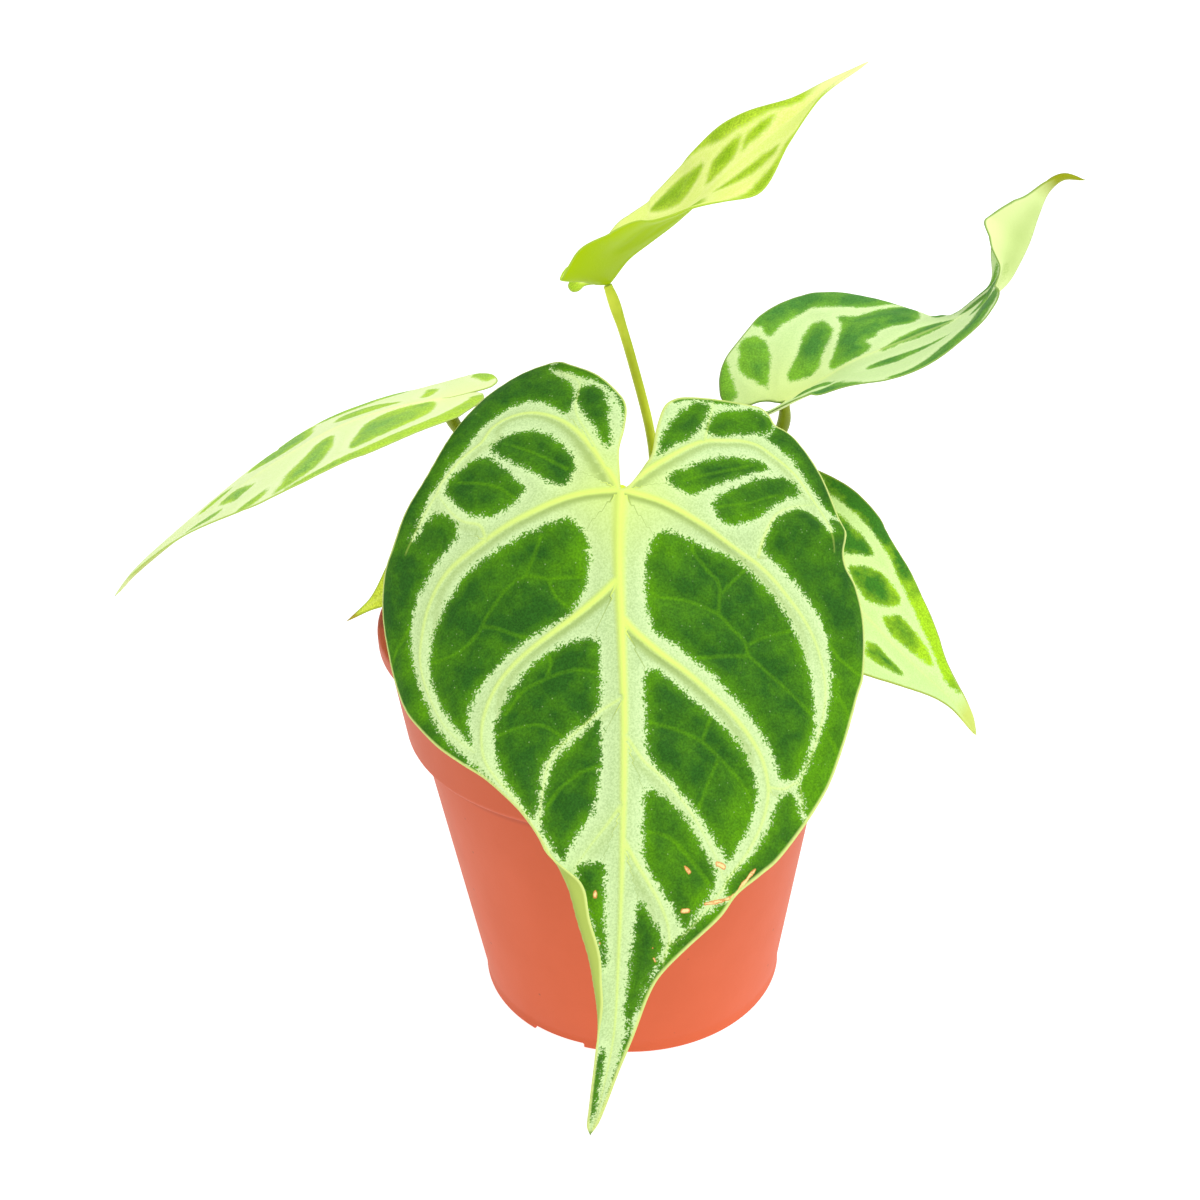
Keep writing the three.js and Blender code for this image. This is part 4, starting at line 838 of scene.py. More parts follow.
@dataclass
class Vein:
    """One raised vein in the flat outline.

    Attributes:
        path: Its course, across and along the midrib, in mm.
        line: Full widths of its raised line, at even steps along it.
    """

    path: Line
    line: tuple[float, ...]

    def samples(self) -> tuple[np.ndarray, np.ndarray, np.ndarray]:
        """Reads the vein off at close points.

        Returns:
            Points, side normals and half widths of the line.
        """
        points = resample(catmull_rom(self.path, 8), VEIN_STEP)
        tangent = np.gradient(points, axis=0)
        tangent /= np.linalg.norm(tangent, axis=1)[:, None]
        side = np.stack([tangent[:, 1], -tangent[:, 0]], 1)
        share = np.linspace(0, 1, len(points))
        steps = np.linspace(0, 1, len(self.line))
        return points, side, np.interp(share, steps, self.line) / 2


# Sizes of the leaf's patterns in mm: the skin's cells, drawn coarser than life to show, the
# wander of the bands' borders, the mottling of the green, and the grid of the bright specks
SKIN_GRAIN = 0.42
WANDER = 1.8
MOTTLE = 7.0
SPECK_GRID = 1.7

# Point attributes of a blade that its finish reads
LEAF_FIELDS = ("cell", "lift", "rib_near", "rib_side", "rib_half", "lee", "net", "border", "glow",
               "under", "tip", "blemish")

SHEEN_TINT = "#E6F2D8"
CORK_EDGE, CORK_MIDDLE = "#D58A4A", "#F4DE96"


@dataclass(frozen=True)
class LeafFinish:
    """Living anthurium leaf. The upper side is velvety: fine bulging cells scatter light, so it
    has no hard highlight, the silver bands are paler where air lies under the skin, and the
    veins and the thin margin are translucent yellow-green.

    Attributes:
        name: The material's name.
        dark: Middle of a cell.
        bright: Cell near its border and the leaf's margin.
        silver: Band along the veins.
        silver_shade: Darker speckle of the band, and painted shade in its middle.
        vein: Raised line of a vein.
        margin: Thin border of the leaf.
        under: Lower side.
        under_shade: Darker patches of the lower side, and painted shade on a rolled flap.
        tip: The drawn-out tip.
        velvet: Strength of the soft sheen.
        feather: How far the band's border frays, in mm.
        soft: Half the width of that border's blend, in mm.
        specks: Strength of the bright specks in the cells.
        line: How far the raised veins' colour stands out.
        lit: How far the band brightens to the veins' colour by the joint and the veins.
        lee: Painted shade on the band beside a vein, on the side towards the tip.
    """

    name: str
    dark: str
    bright: str
    silver: str
    silver_shade: str
    vein: str
    margin: str
    under: str
    under_shade: str
    tip: str
    velvet: float = 0.03
    feather: float = 1.0
    soft: float = 0.4
    specks: float = 0.0
    line: float = 1.0
    lit: float = 0.5
    lee: str = "#93AC58"

    def _green(self, graph: Graph, read: dict[str, Socket], grain: Socket) -> Socket:
        """Green of the cells: darkest in the middle, with mottling, thin veins and specks.

        Args:
            graph: The material.
            read: The point attributes.
            grain: Fine noise of the skin.

        Returns:
            The colour.
        """
        blotch = graph.noise(MOTTLE, 5.0, 0.62)
        border = graph.ramp(read["cell"], 0.0, 3.0, 0.55, 0.0)
        wavering = graph.math("MULTIPLY_ADD", blotch, 0.9, read["net"])
        groove = graph.ramp(wavering, 0.45, 1.15, 0.5, 0.0, even=False)
        lift = graph.math("ADD", border, read["lift"])
        lift = graph.math("ADD", lift, graph.ramp(blotch, 0.36, 0.66, -0.16, 0.5))
        lift = graph.math("ADD", lift, groove, clamp=True)
        colour = graph.mix(lift, self.dark, self.bright)
        # Velvet grain of the skin
        strength = graph.ramp(grain, 0.36, 0.66, 0.78, 1.22)
        colour = add_node(graph.tree, "ShaderNodeVectorMath", {
            0: colour, "Scale": strength}, operation="SCALE").outputs[0]
        # Single bright specks, about 0.2 mm across
        dot = graph.ramp(graph.dots(SPECK_GRID), 0.05, 0.11, self.specks, 0.0)
        spot = graph.product(dot, graph.ramp(blotch, 0.42, 0.56))
        return graph.mix(spot, colour, self.silver)

    def _silver(self, graph: Graph, read: dict[str, Socket], grain: Socket) -> Socket:
        """Silver of the bands: speckled, and lit up by the veins and round the joint.

        Args:
            graph: The material.
            read: The point attributes.
            grain: Fine noise of the skin.

        Returns:
            The colour.
        """
        # Speckle, and painted shade that darkens the band's middle, away from the cells
        speckle = graph.math("ADD", graph.ramp(grain, 0.38, 0.62, -0.1, 0.5),
                             graph.ramp(read["cell"], -2.6, -0.4, 0.3, -0.1), clamp=True)
        silver = graph.mix(speckle, self.silver, self.silver_shade)
        lit = graph.math("MULTIPLY", read["glow"], self.lit, clamp=True)
        return graph.mix(lit, silver, self.vein)

    def _lower(self, graph: Graph, read: dict[str, Socket], frayed: Socket,
               grain: Socket) -> Socket:
        """Lower side: plain and paler, with the cells faintly through it.

        Args:
            graph: The material.
            read: The point attributes.
            frayed: Depth in the cells, with the bands' frayed borders.
            grain: Fine noise of the skin.

        Returns:
            The colour.
        """
        through = graph.product(graph.ramp(frayed, -0.5, 1.5, 0.1, 0.6), grain)
        # Spots darken the lower side: painted shade on the rolled flap of the upper right leaf
        through = graph.math("ADD", through, read["lift"], clamp=True)
        return graph.mix(through, self.under, self.under_shade)

    def material(self) -> bpy.types.Material:
        """Builds the leaf's material from its point attributes.

        Returns:
            The material.
        """
        graph = Graph(self.name)
        read = {name: graph.attribute(name) for name in LEAF_FIELDS}
        grain = graph.noise(SKIN_GRAIN, 2.0, 0.6)
        fray = graph.noise(WANDER, 4.0, 0.7)
        # Frayed border of the silver band: single cells of the skin, on a slower wander
        frayed = graph.math("MULTIPLY_ADD", grain, 4.2 * self.feather, read["cell"])
        frayed = graph.math("MULTIPLY_ADD", fray, 3.0 * self.feather, frayed)
        frayed = graph.math("ADD", frayed, -3.6 * self.feather)
        band = graph.ramp(frayed, -self.soft, self.soft, 1.0, 0.0, even=False)
        skin = graph.mix(band, self._green(graph, read, grain), self._silver(graph, read, grain))
        # The raised line of each main vein
        across = graph.math("ABSOLUTE", read["rib_side"])
        across = graph.math("DIVIDE", across, read["rib_half"])
        strength = graph.ramp(read["rib_half"], 0.1, 0.7, 0.05, 1.0)
        line = graph.product(graph.ramp(across, 0.1, 1.9, self.line, 0.0, even=False), strength,
                             graph.ramp(read["rib_near"], 1.6, 2.4, 1.0, 0.0))
        skin = graph.mix(line, skin, self.vein)
        # Painted shade: the band on the side of a vein towards the tip is darkened to olive
        lee = graph.product(graph.ramp(read["lee"], 0.35, 0.85, even=False),
                            graph.ramp(read["lee"], 0.95, 2.2, 0.75, 0.0, even=False),
                            strength, band)
        skin = graph.mix(lee, skin, self.lee)
        # Small corky marks and the torn crease by the right margin
        mark = graph.math("MULTIPLY_ADD", fray, 1.1, read["blemish"])
        mark = graph.ramp(mark, 1.02, 1.55)
        cork = graph.mix(graph.ramp(mark, 0.3, 0.8, even=False), CORK_EDGE, CORK_MIDDLE)
        skin = graph.mix(graph.ramp(mark, 0.0, 0.3, even=False), skin, cork)
        colour = graph.mix(read["under"], skin, self._lower(graph, read, frayed, grain))
        # The thin cartilage border, pale and translucent, on both sides
        margin = graph.ramp(read["border"], 0.15, 0.6, 1.0, 0.0, even=False)
        colour = graph.mix(margin, colour, self.margin)
        colour = graph.mix(read["tip"], colour, self.tip)
        # The line stands about 0.2 mm proud, and the skin's grain about 0.05 mm
        relief = graph.math("MULTIPLY_ADD", grain, 0.28, line)
        relief = graph.math("MULTIPLY_ADD", band, 0.25, relief)
        return graph.finished(colour, graph.ramp(band, 0.0, 1.0, 0.66, 0.52), 0.12, {
            "Normal": graph.bump(relief, 0.8, 0.22), "IOR": 1.42,
            "Sheen Weight": self.velvet, "Sheen Roughness": 0.45,
            "Sheen Tint": linear(SHEEN_TINT)})


GROWN_FRONT = LeafFinish(
    "velvet_leaf_front", "#2B5E17", "#569208", "#CFE8AA", "#A8C486", "#DAF076", "#D2E283",
    "#ABBD59", "#8BA443", "#6F9A28", specks=0.35)
# Its under_shade also colours the painted shade on the rolled flap of the upper right leaf
GROWN_HAZED = LeafFinish(
    "velvet_leaf_right_up", "#4E8A38", "#82BC38", "#DDF4B2", "#C8E69C", "#EAF89C", "#8FB055",
    "#E6F7A8", "#9DBB5C", "#959E08", feather=0.55, soft=0.6, specks=0.1, line=0.4, lit=0.6)
GROWN_LOW = LeafFinish(
    "velvet_leaf_right_low", "#3C7A1E", "#A4D422", "#D2F09E", "#BADB86", "#E2F68E", "#A2B446",
    "#D9EC98", "#B9CF6A", "#C9D86A", feather=0.6, soft=0.5, specks=0.15, line=0.35, lit=0.4)
PALE_LEFT = LeafFinish(
    "velvet_leaf_left", "#86B852", "#B4DC40", "#EAF9BC", "#DCF1A2", "#F2FCA6", "#B4CE62",
    "#B9CC66", "#9DB446", "#D6E69A", feather=0.5, soft=0.6, line=0.4)
YOUNG_TOP = LeafFinish(
    "young_leaf_top", "#8FBB18", "#C0E03A", "#F0FC94", "#DDF268", "#F6FDA8", "#B4D244",
    "#B9D600", "#A2C200", "#F0F7A0", feather=0.5, soft=1.0, line=0.3, lit=0.4)
YOUNG_SMALL = LeafFinish(
    "young_leaf_small", "#E0F04C", "#EAF860", "#EEFA8C", "#E0F264", "#F2FC90", "#BACE3E",
    "#E4F448", "#D0E43A", "#B9A93A", feather=0.5, line=0.5)


# Fineness of the leaf's curves: spans of the midrib and the outline, and samples in mm
MIDRIB_SPAN = 60
OUTLINE_SPAN = 12
FINE = 0.25
VEIN_STEP = 0.3
# Rows of the flat mesh: height of a triangle, columns on each side, and room left round edges
ROW_HEIGHT = 0.866
COLUMNS = 140
ROOM = 0.5
# Stand for a distance beyond every vein, and for a depth beyond every border, in mm
FAR = 50.0
DEEP = 9.0
# How far the joint and the veins light up the band round them, in mm
JOINT_GLOW = 13.0
VEIN_GLOW = 1.6
# Distance from the margin at which the relief reaches its full height, in mm
RISE = 3.0
# Half width of a ridge, and half width of the line at which it has its full height, in mm
RIDGE_REACH = 1.15
FULL_LINE = 0.75
# Distance over which a cell's cushion rises, in mm
CUSHION = 2.6
# The lower side follows the ridges by this share
BACK_SHARE = 0.9


@dataclass
class LeafShape:
    """A leaf's surface: its flat outline bent along the midrib and folded half by half.

    Attributes:
        blade: The CAD node.
        facing: Where the upper side looks.
        midrib: From behind the joint to the tip, in mm.
        fold_left: How far the left half is lifted, in degrees, at stations of the midrib.
        fold_right: The same for the right half.
        curl_left: The left half's further bend, in degrees a millimetre.
        curl_right: The same for the right half.
        joint: Index of the stalk's joint in the midrib.
        left: Flat outline of the left half, or None for a grown leaf's.
        right: The same for the right half.
        half_width: Half the width of a grown leaf.
        lobe: Length of the left and right lobes of a grown leaf.
        widened: Shares of the left and right outlines that differ from a grown leaf's.
        rolled: Where the left margin starts to roll, and by how many degrees in all.
        roll_width: Width of the roll, beyond which the margin is flat again.
        evened: Length over which the midrib's direction is evened out for the halves.
        cells: Green cells in the flat outline, or None where the leaf has none.
        spots: Brighter places of the cells, darker below: across, along, radius and strength.
        wave: Height and length of the margin's waves.
        spacing: Size of the surface's triangles.
        puffed: How far its cells bulge, in mm.
        ridge: Height of the ridge along its main veins, in mm.
        border: Width of the pale margin on the right and the left, against the usual.
        tip_from: Share of the length where the drawn-out tip's colour starts.
        thickness: Of the sheet, in mm.
    """

    blade: Blade
    facing: Triple
    midrib: list[Triple]
    fold_left: Line
    fold_right: Line
    curl_left: Line = field(default_factory=lambda: level(0.1))
    curl_right: Line = field(default_factory=lambda: level(0.1))
    joint: int = 1
    left: Line | None = None
    right: Line | None = None
    half_width: float = 0.0
    lobe: Pair = (0.0, 0.0)
    widened: tuple[dict[float, float], ...] = field(default_factory=lambda: ({}, {}))
    rolled: list[Triple] | None = None
    roll_width: float = 1.6
    evened: float = 0.0
    cells: list[Line] | None = None
    spots: list[tuple[float, float, float, float]] = field(default_factory=list)
    wave: Pair = (0.5, 20.0)
    spacing: float = 0.7
    puffed: float = 0.35
    ridge: float = 0.45
    border: Pair = (1.0, 1.0)
    tip_from: float = 0.88
    thickness: float = 0.5

    def __post_init__(self) -> None:
        """Reads the midrib off at close points."""
        line = catmull_rom(self.midrib, MIDRIB_SPAN)
        run = run_along(line)
        self.run = run - run[self.joint * MIDRIB_SPAN]
        self.length = float(self.run[-1])
        ahead = np.gradient(line, self.run, axis=0)
        if self.evened:
            behind, before = (np.stack([
                np.interp(self.run + step, self.run, c) for c in line.T], 1)
                for step in (-self.evened, self.evened))
            ahead = before - behind
        ahead /= np.linalg.norm(ahead, axis=1)[:, None]
        toward = np.array(self.facing) / np.linalg.norm(self.facing)
        across = np.cross(toward[None], ahead)
        across /= np.linalg.norm(across, axis=1)[:, None]
        self.frames = np.hstack([line, ahead, across, np.cross(ahead, across)])
        self.outlines = [self._outline(side) for side in (-1, 1)]
        self.widest = max(float(np.abs(o[:, 0]).max()) for o in self.outlines)

    def _outline(self, side: int) -> np.ndarray:
        """Flat outline of one half, from the joint round the lobe to the tip.

        Args:
            side: -1 for the left half and 1 for the right.

        Returns:
            The outline's points.
        """
        given = self.left if side < 0 else self.right
        if given is None:
            lobe = self.lobe[side > 0]
            given = [(side * self.half_width * self.widened[side > 0].get(v, u),
                      v * (lobe if v < 0 else self.length)) for u, v in GROWN_HALF]
        return catmull_rom([*given[:-1], (given[-1][0], self.length)], OUTLINE_SPAN)

    def veins(self) -> list[Vein]:
        """The raised veins: all main ones of the front leaf, and the midrib of the others.

        Returns:
            The veins.
        """
        if self.blade is Blade.FRONT:
            return [Vein(path, line) for path, line in FRONT_VEINS]
        course = [(0, 0.5), (0, self.length / 2), (0, self.length * 0.98)]
        return [Vein(course, (1.6, 1.0, 0.5))]

    def flat_mesh(self) -> tuple[np.ndarray, np.ndarray]:
        """Fills the flat outline with even triangles, with the midrib as one of their edges.

        Returns:
            Flat points and triangles.
        """
        left, right = (resample(o, self.spacing) for o in self.outlines)
        rim = np.vstack([left, right[-2:0:-1]])
        steps = int(self.length / self.spacing)
        spine = np.stack([np.zeros(steps), np.linspace(0, self.length, steps + 2)[1:-1]], 1)
        rows = np.arange(rim[:, 1].min(), rim[:, 1].max(), self.spacing * ROW_HEIGHT)
        following = np.roll(rim, -1, axis=0)
        inner = []
        for number, v in enumerate(rows):
            crossing = (rim[:, 1] > v) != (following[:, 1] > v)
            a, b = rim[crossing], following[crossing]
            cuts = np.sort(a[:, 0] + (v - a[:, 1]) / (b[:, 1] - a[:, 1]) * (b[:, 0] - a[:, 0]))
            columns = (np.arange(-COLUMNS, COLUMNS + 1) + 0.5 * (number % 2)) * self.spacing
            inside = (np.searchsorted(cuts, columns) % 2) == 1
            clear = np.abs(columns) > 0.45 * self.spacing if v > 0 else True
            inner.append(np.stack([columns, np.full(len(columns), v)], 1)[inside & clear])
        filling = np.vstack(inner)
        distance, _ = nearest(filling, resample(np.vstack([rim, rim[:1]]), self.spacing / 3))
        filling = filling[distance > ROOM * self.spacing]
        points = np.vstack([rim, spine, filling])
        count = len(rim)
        edges = [(i, (i + 1) % count) for i in range(count)]
        chain = [0, *range(count, count + len(spine)), len(left) - 1]
        edges += list(zip(chain, chain[1:]))
        made = delaunay_2d_cdt([Vector(p) for p in points], edges, [], 1, 1e-5)
        flat = np.array([tuple(p) for p in made[0]])
        return flat, np.array([f for f in made[2] if len(f) == 3], int)

    def surface(self, flat: np.ndarray) -> tuple[np.ndarray, np.ndarray]:
        """Bends flat points into place.

        Args:
            flat: Points across and along the midrib.

        Returns:
            Places, and the midrib's upper directions.
        """
        u, v = flat.T
        inside = np.clip(v, self.run[0], self.run[-1])
        frame = np.stack([np.interp(inside, self.run, c) for c in self.frames.T], 1)
        origin, ahead, across, upper = (frame[:, i : i + 3] for i in (0, 3, 6, 9))
        origin = origin + ahead * (v - inside)[:, None]
        left = u < 0
        side = np.where(left, -1.0, 1.0)
        fold, curl = (np.radians(np.where(left, along(a, v), along(b, v))) for a, b in (
            (self.fold_left, self.fold_right), (self.curl_left, self.curl_right)))
        distance = np.abs(u)
        start, roll = np.full(len(u), 1e6), np.zeros(len(u))
        if self.rolled:
            start = np.where(left, along([(x, d) for x, d, _ in self.rolled], v), start)
            turn = along([(x, r) for x, _, r in self.rolled], v) / self.roll_width
            roll = np.where(left, np.radians(turn), 0)

        def bend(angle: np.ndarray, rate: np.ndarray, run: np.ndarray) -> np.ndarray:
            """Sideways and upward run of an arc.

            Args:
                angle: Its direction at the start.
                rate: Its bend a millimetre.
                run: Its length.

            Returns:
                The two runs.
            """
            safe = np.where(np.abs(rate) < 1e-7, 1e-7, rate)
            end = angle + safe * run
            return np.array([np.sin(end) - np.sin(angle), np.cos(angle) - np.cos(end)]) / safe

        near = np.minimum(distance, start)
        rolling = np.minimum(distance - near, self.roll_width)
        end = fold + curl * (near + rolling) + roll * rolling
        aside, above = (bend(fold, curl, near) + bend(fold + curl * near, curl + roll, rolling)
                        + bend(end, curl, distance - near - rolling))
        height, length = self.wave
        above += height * np.sin(math.tau * v / length + side) * (distance / self.widest) ** 2
        return origin + across * (side * aside)[:, None] + upper * above[:, None], upper


def point_normals(place: np.ndarray, triangles: np.ndarray) -> np.ndarray:
    """Unit normals of a surface, from the triangles round each point.

    Args:
        place: The surface's points.
        triangles: Indices of their corners.

    Returns:
        A normal for each point.
    """
    a, b, c = (place[triangles[:, i]] for i in range(3))
    face = np.cross(b - a, c - a)
    made = np.zeros_like(place)
    for i in range(3):
        np.add.at(made, triangles[:, i], face)
    return made / np.maximum(np.linalg.norm(made, axis=1), 1e-12)[:, None]


@dataclass
class LeafBlade:
    """Builds one blade as a thin closed sheet with raised veins and puffed cells."""

    shape: LeafShape
    finish: LeafFinish
    slot: Slot

    def _fields(self, flat: np.ndarray) -> dict[str, np.ndarray]:
        """Distances that the finish and the relief read.

        Args:
            flat: Points in the flat outline.

        Returns:
            Values by attribute name, in mm.
        """
        shape, count = self.shape, len(flat)
        fields = {"cell": np.full(count, -DEEP if shape.cells else DEEP),
                  "rib_near": np.full(count, FAR), "rib_side": np.full(count, FAR),
                  "rib_half": np.full(count, 0.5), "lee": np.zeros(count),
                  "net": np.full(count, FAR), "lift": np.zeros(count),
                  "blemish": np.zeros(count)}
        for cell in shape.cells or []:
            ring = closed_curve(cell)
            distance, _ = nearest(flat, resample(ring, FINE))
            depth = np.where(inside_of(flat, ring), distance, -distance)
            fields["cell"] = np.maximum(fields["cell"], depth)
        for vein in shape.veins():
            points, side, line = vein.samples()
            distance, index = nearest(flat, points)
            closer = distance < fields["rib_near"]
            offset = flat - points[index]
            for name, values in (("rib_side", (offset * side[index]).sum(1)),
                                 ("rib_half", line[index]), ("lee", offset[:, 1]),
                                 ("rib_near", distance)):
                fields[name] = np.where(closer, values, fields[name])
        joint = np.hypot(flat[:, 0], flat[:, 1])
        fields["glow"] = (np.exp(-((joint / JOINT_GLOW) ** 2))
                          + 0.3 * np.exp(-fields["rib_near"] / VEIN_GLOW))
        if shape.blade is Blade.FRONT:
            for path in FRONT_NET:
                distance, _ = nearest(flat, resample(catmull_rom(path, 6), VEIN_STEP))
                fields["net"] = np.minimum(fields["net"], distance)
            for path, radius in FRONT_MARKS:
                distance, _ = nearest(flat, resample(np.array(path, float), 0.2))
                mark = np.exp(-((distance / radius) ** 2))
                fields["blemish"] = np.maximum(fields["blemish"], mark)
        rim = np.vstack([shape.outlines[0], shape.outlines[1][::-1]])
        fields["edge"] = nearest(flat, resample(rim, FINE))[0]
        fields["border"] = fields["edge"] / np.where(flat[:, 0] > 0, *shape.border)
        share = (flat[:, 1] / shape.length - shape.tip_from) / (1.0 - shape.tip_from)
        fields["tip"] = np.clip(share * 2.5, 0, 1)
        for u, v, radius, strength in shape.spots:
            reach = ((flat[:, 0] - u) ** 2 + (flat[:, 1] - v) ** 2) / radius**2
            fields["lift"] += strength * np.exp(-reach)
        return fields

    def _relief(self, flat: np.ndarray, fields: dict[str, np.ndarray]) -> tuple[
            np.ndarray, np.ndarray]:
        """Puffs the cells up between the thin veins, and raises the main veins as ridges.

        Args:
            flat: Points in the flat outline.
            fields: Distances at the points.

        Returns:
            How far the sheet bulges, and how high its veins stand, in mm.
        """
        shape, cell = self.shape, fields["cell"]
        rise = np.clip(fields["edge"] / RISE, 0, 1)
        rib = shape.ridge * np.exp(-((fields["rib_near"] / RIDGE_REACH) ** 1.6))
        rib = rib * np.clip(fields["rib_half"] / FULL_LINE, 0.2, 1.3)
        band = np.clip(-cell, 0, 3) * rise
        rib = np.maximum(rib, 0.5 * shape.ridge * (1 - np.exp(-((band / 2) ** 2))))
        pillow = np.minimum(fields["net"], np.clip(cell, 0, None) + 0.3) / CUSHION
        puff = shape.puffed * (1 - np.exp(-(pillow**2)))
        ripple = 0.1 * np.sin(flat[:, 0] * 0.9 + 2.0 * np.sin(flat[:, 1] * 0.35))
        return (puff + ripple * np.clip(cell / 3, 0, 1)) * rise, rib

    def build(self) -> None:
        """Makes the blade's mesh, its attributes and its material."""
        shape = self.shape
        flat, triangles = shape.flat_mesh()
        place, upper = shape.surface(flat)
        normal = point_normals(place, triangles)
        if (normal * upper).sum(1).mean() < 0:
            triangles, normal = triangles[:, ::-1], -normal
        fields = self._fields(flat)
        bulge, rib = self._relief(flat, fields)
        body = place + normal * bulge[:, None]
        half = shape.thickness / 2 * np.clip(0.35 + fields["edge"] / 1.2, 0.35, 1)
        top = body + normal * (half + rib)[:, None]
        under = body - normal * (half + BACK_SHARE * rib)[:, None]
        count = len(flat)
        faces = [*triangles.tolist(), *(triangles[:, ::-1] + count).tolist(),
                 *self._rim(triangles, count)]
        mesh = bpy.data.meshes.new(shape.blade.value + "_leaf")
        mesh.from_pydata((np.vstack([top, under]) * MM).tolist(), [], faces)
        mesh.update()
        for name, values in fields.items():
            self._store(mesh, name, np.concatenate([values, values]))
        self._store(mesh, "under", np.repeat([0.0, 1.0], count))
        mesh.polygons.foreach_set("use_smooth", np.ones(len(mesh.polygons), bool))
        obj = link_new(shape.blade.value + "_leaf", mesh)
        seat_piece(obj, self.finish.material(), self.slot, shape.blade.value)

    @staticmethod
    def _rim(triangles: np.ndarray, count: int) -> list[list[int]]:
        """Walls that close the sheet along its margin.

        Args:
            triangles: Corners of the upper side's triangles.
            count: Points of the upper side, after which the lower ones follow.

        Returns:
            The faces.
        """
        edges = np.vstack([triangles[:, [0, 1]], triangles[:, [1, 2]], triangles[:, [2, 0]]])
        key = edges.min(1) * (count + 1) + edges.max(1)
        _, index, uses = np.unique(key, return_index=True, return_counts=True)
        return [[int(b), int(a), int(a) + count, int(b) + count]
                for a, b in edges[index[uses == 1]]]

    @staticmethod
    def _store(mesh: bpy.types.Mesh, name: str, values: np.ndarray) -> None:
        """Writes one value a point.

        Args:
            mesh: The mesh.
            name: The attribute's name.
            values: Its values.
        """
        layer = mesh.attributes.new(name, "FLOAT", "POINT")
        layer.data.foreach_set("value", values.astype(np.float32))


# Stations of GROWN_HALF at which the left leaf's lobes leave hardly a gap behind the stalk
NARROW_SINUS = {-0.12: 0.004, -0.27: 0.004, -0.42: 0.004, -0.58: 0.006, -0.75: 0.01, -0.9: 0.06,
                -1: 0.17}

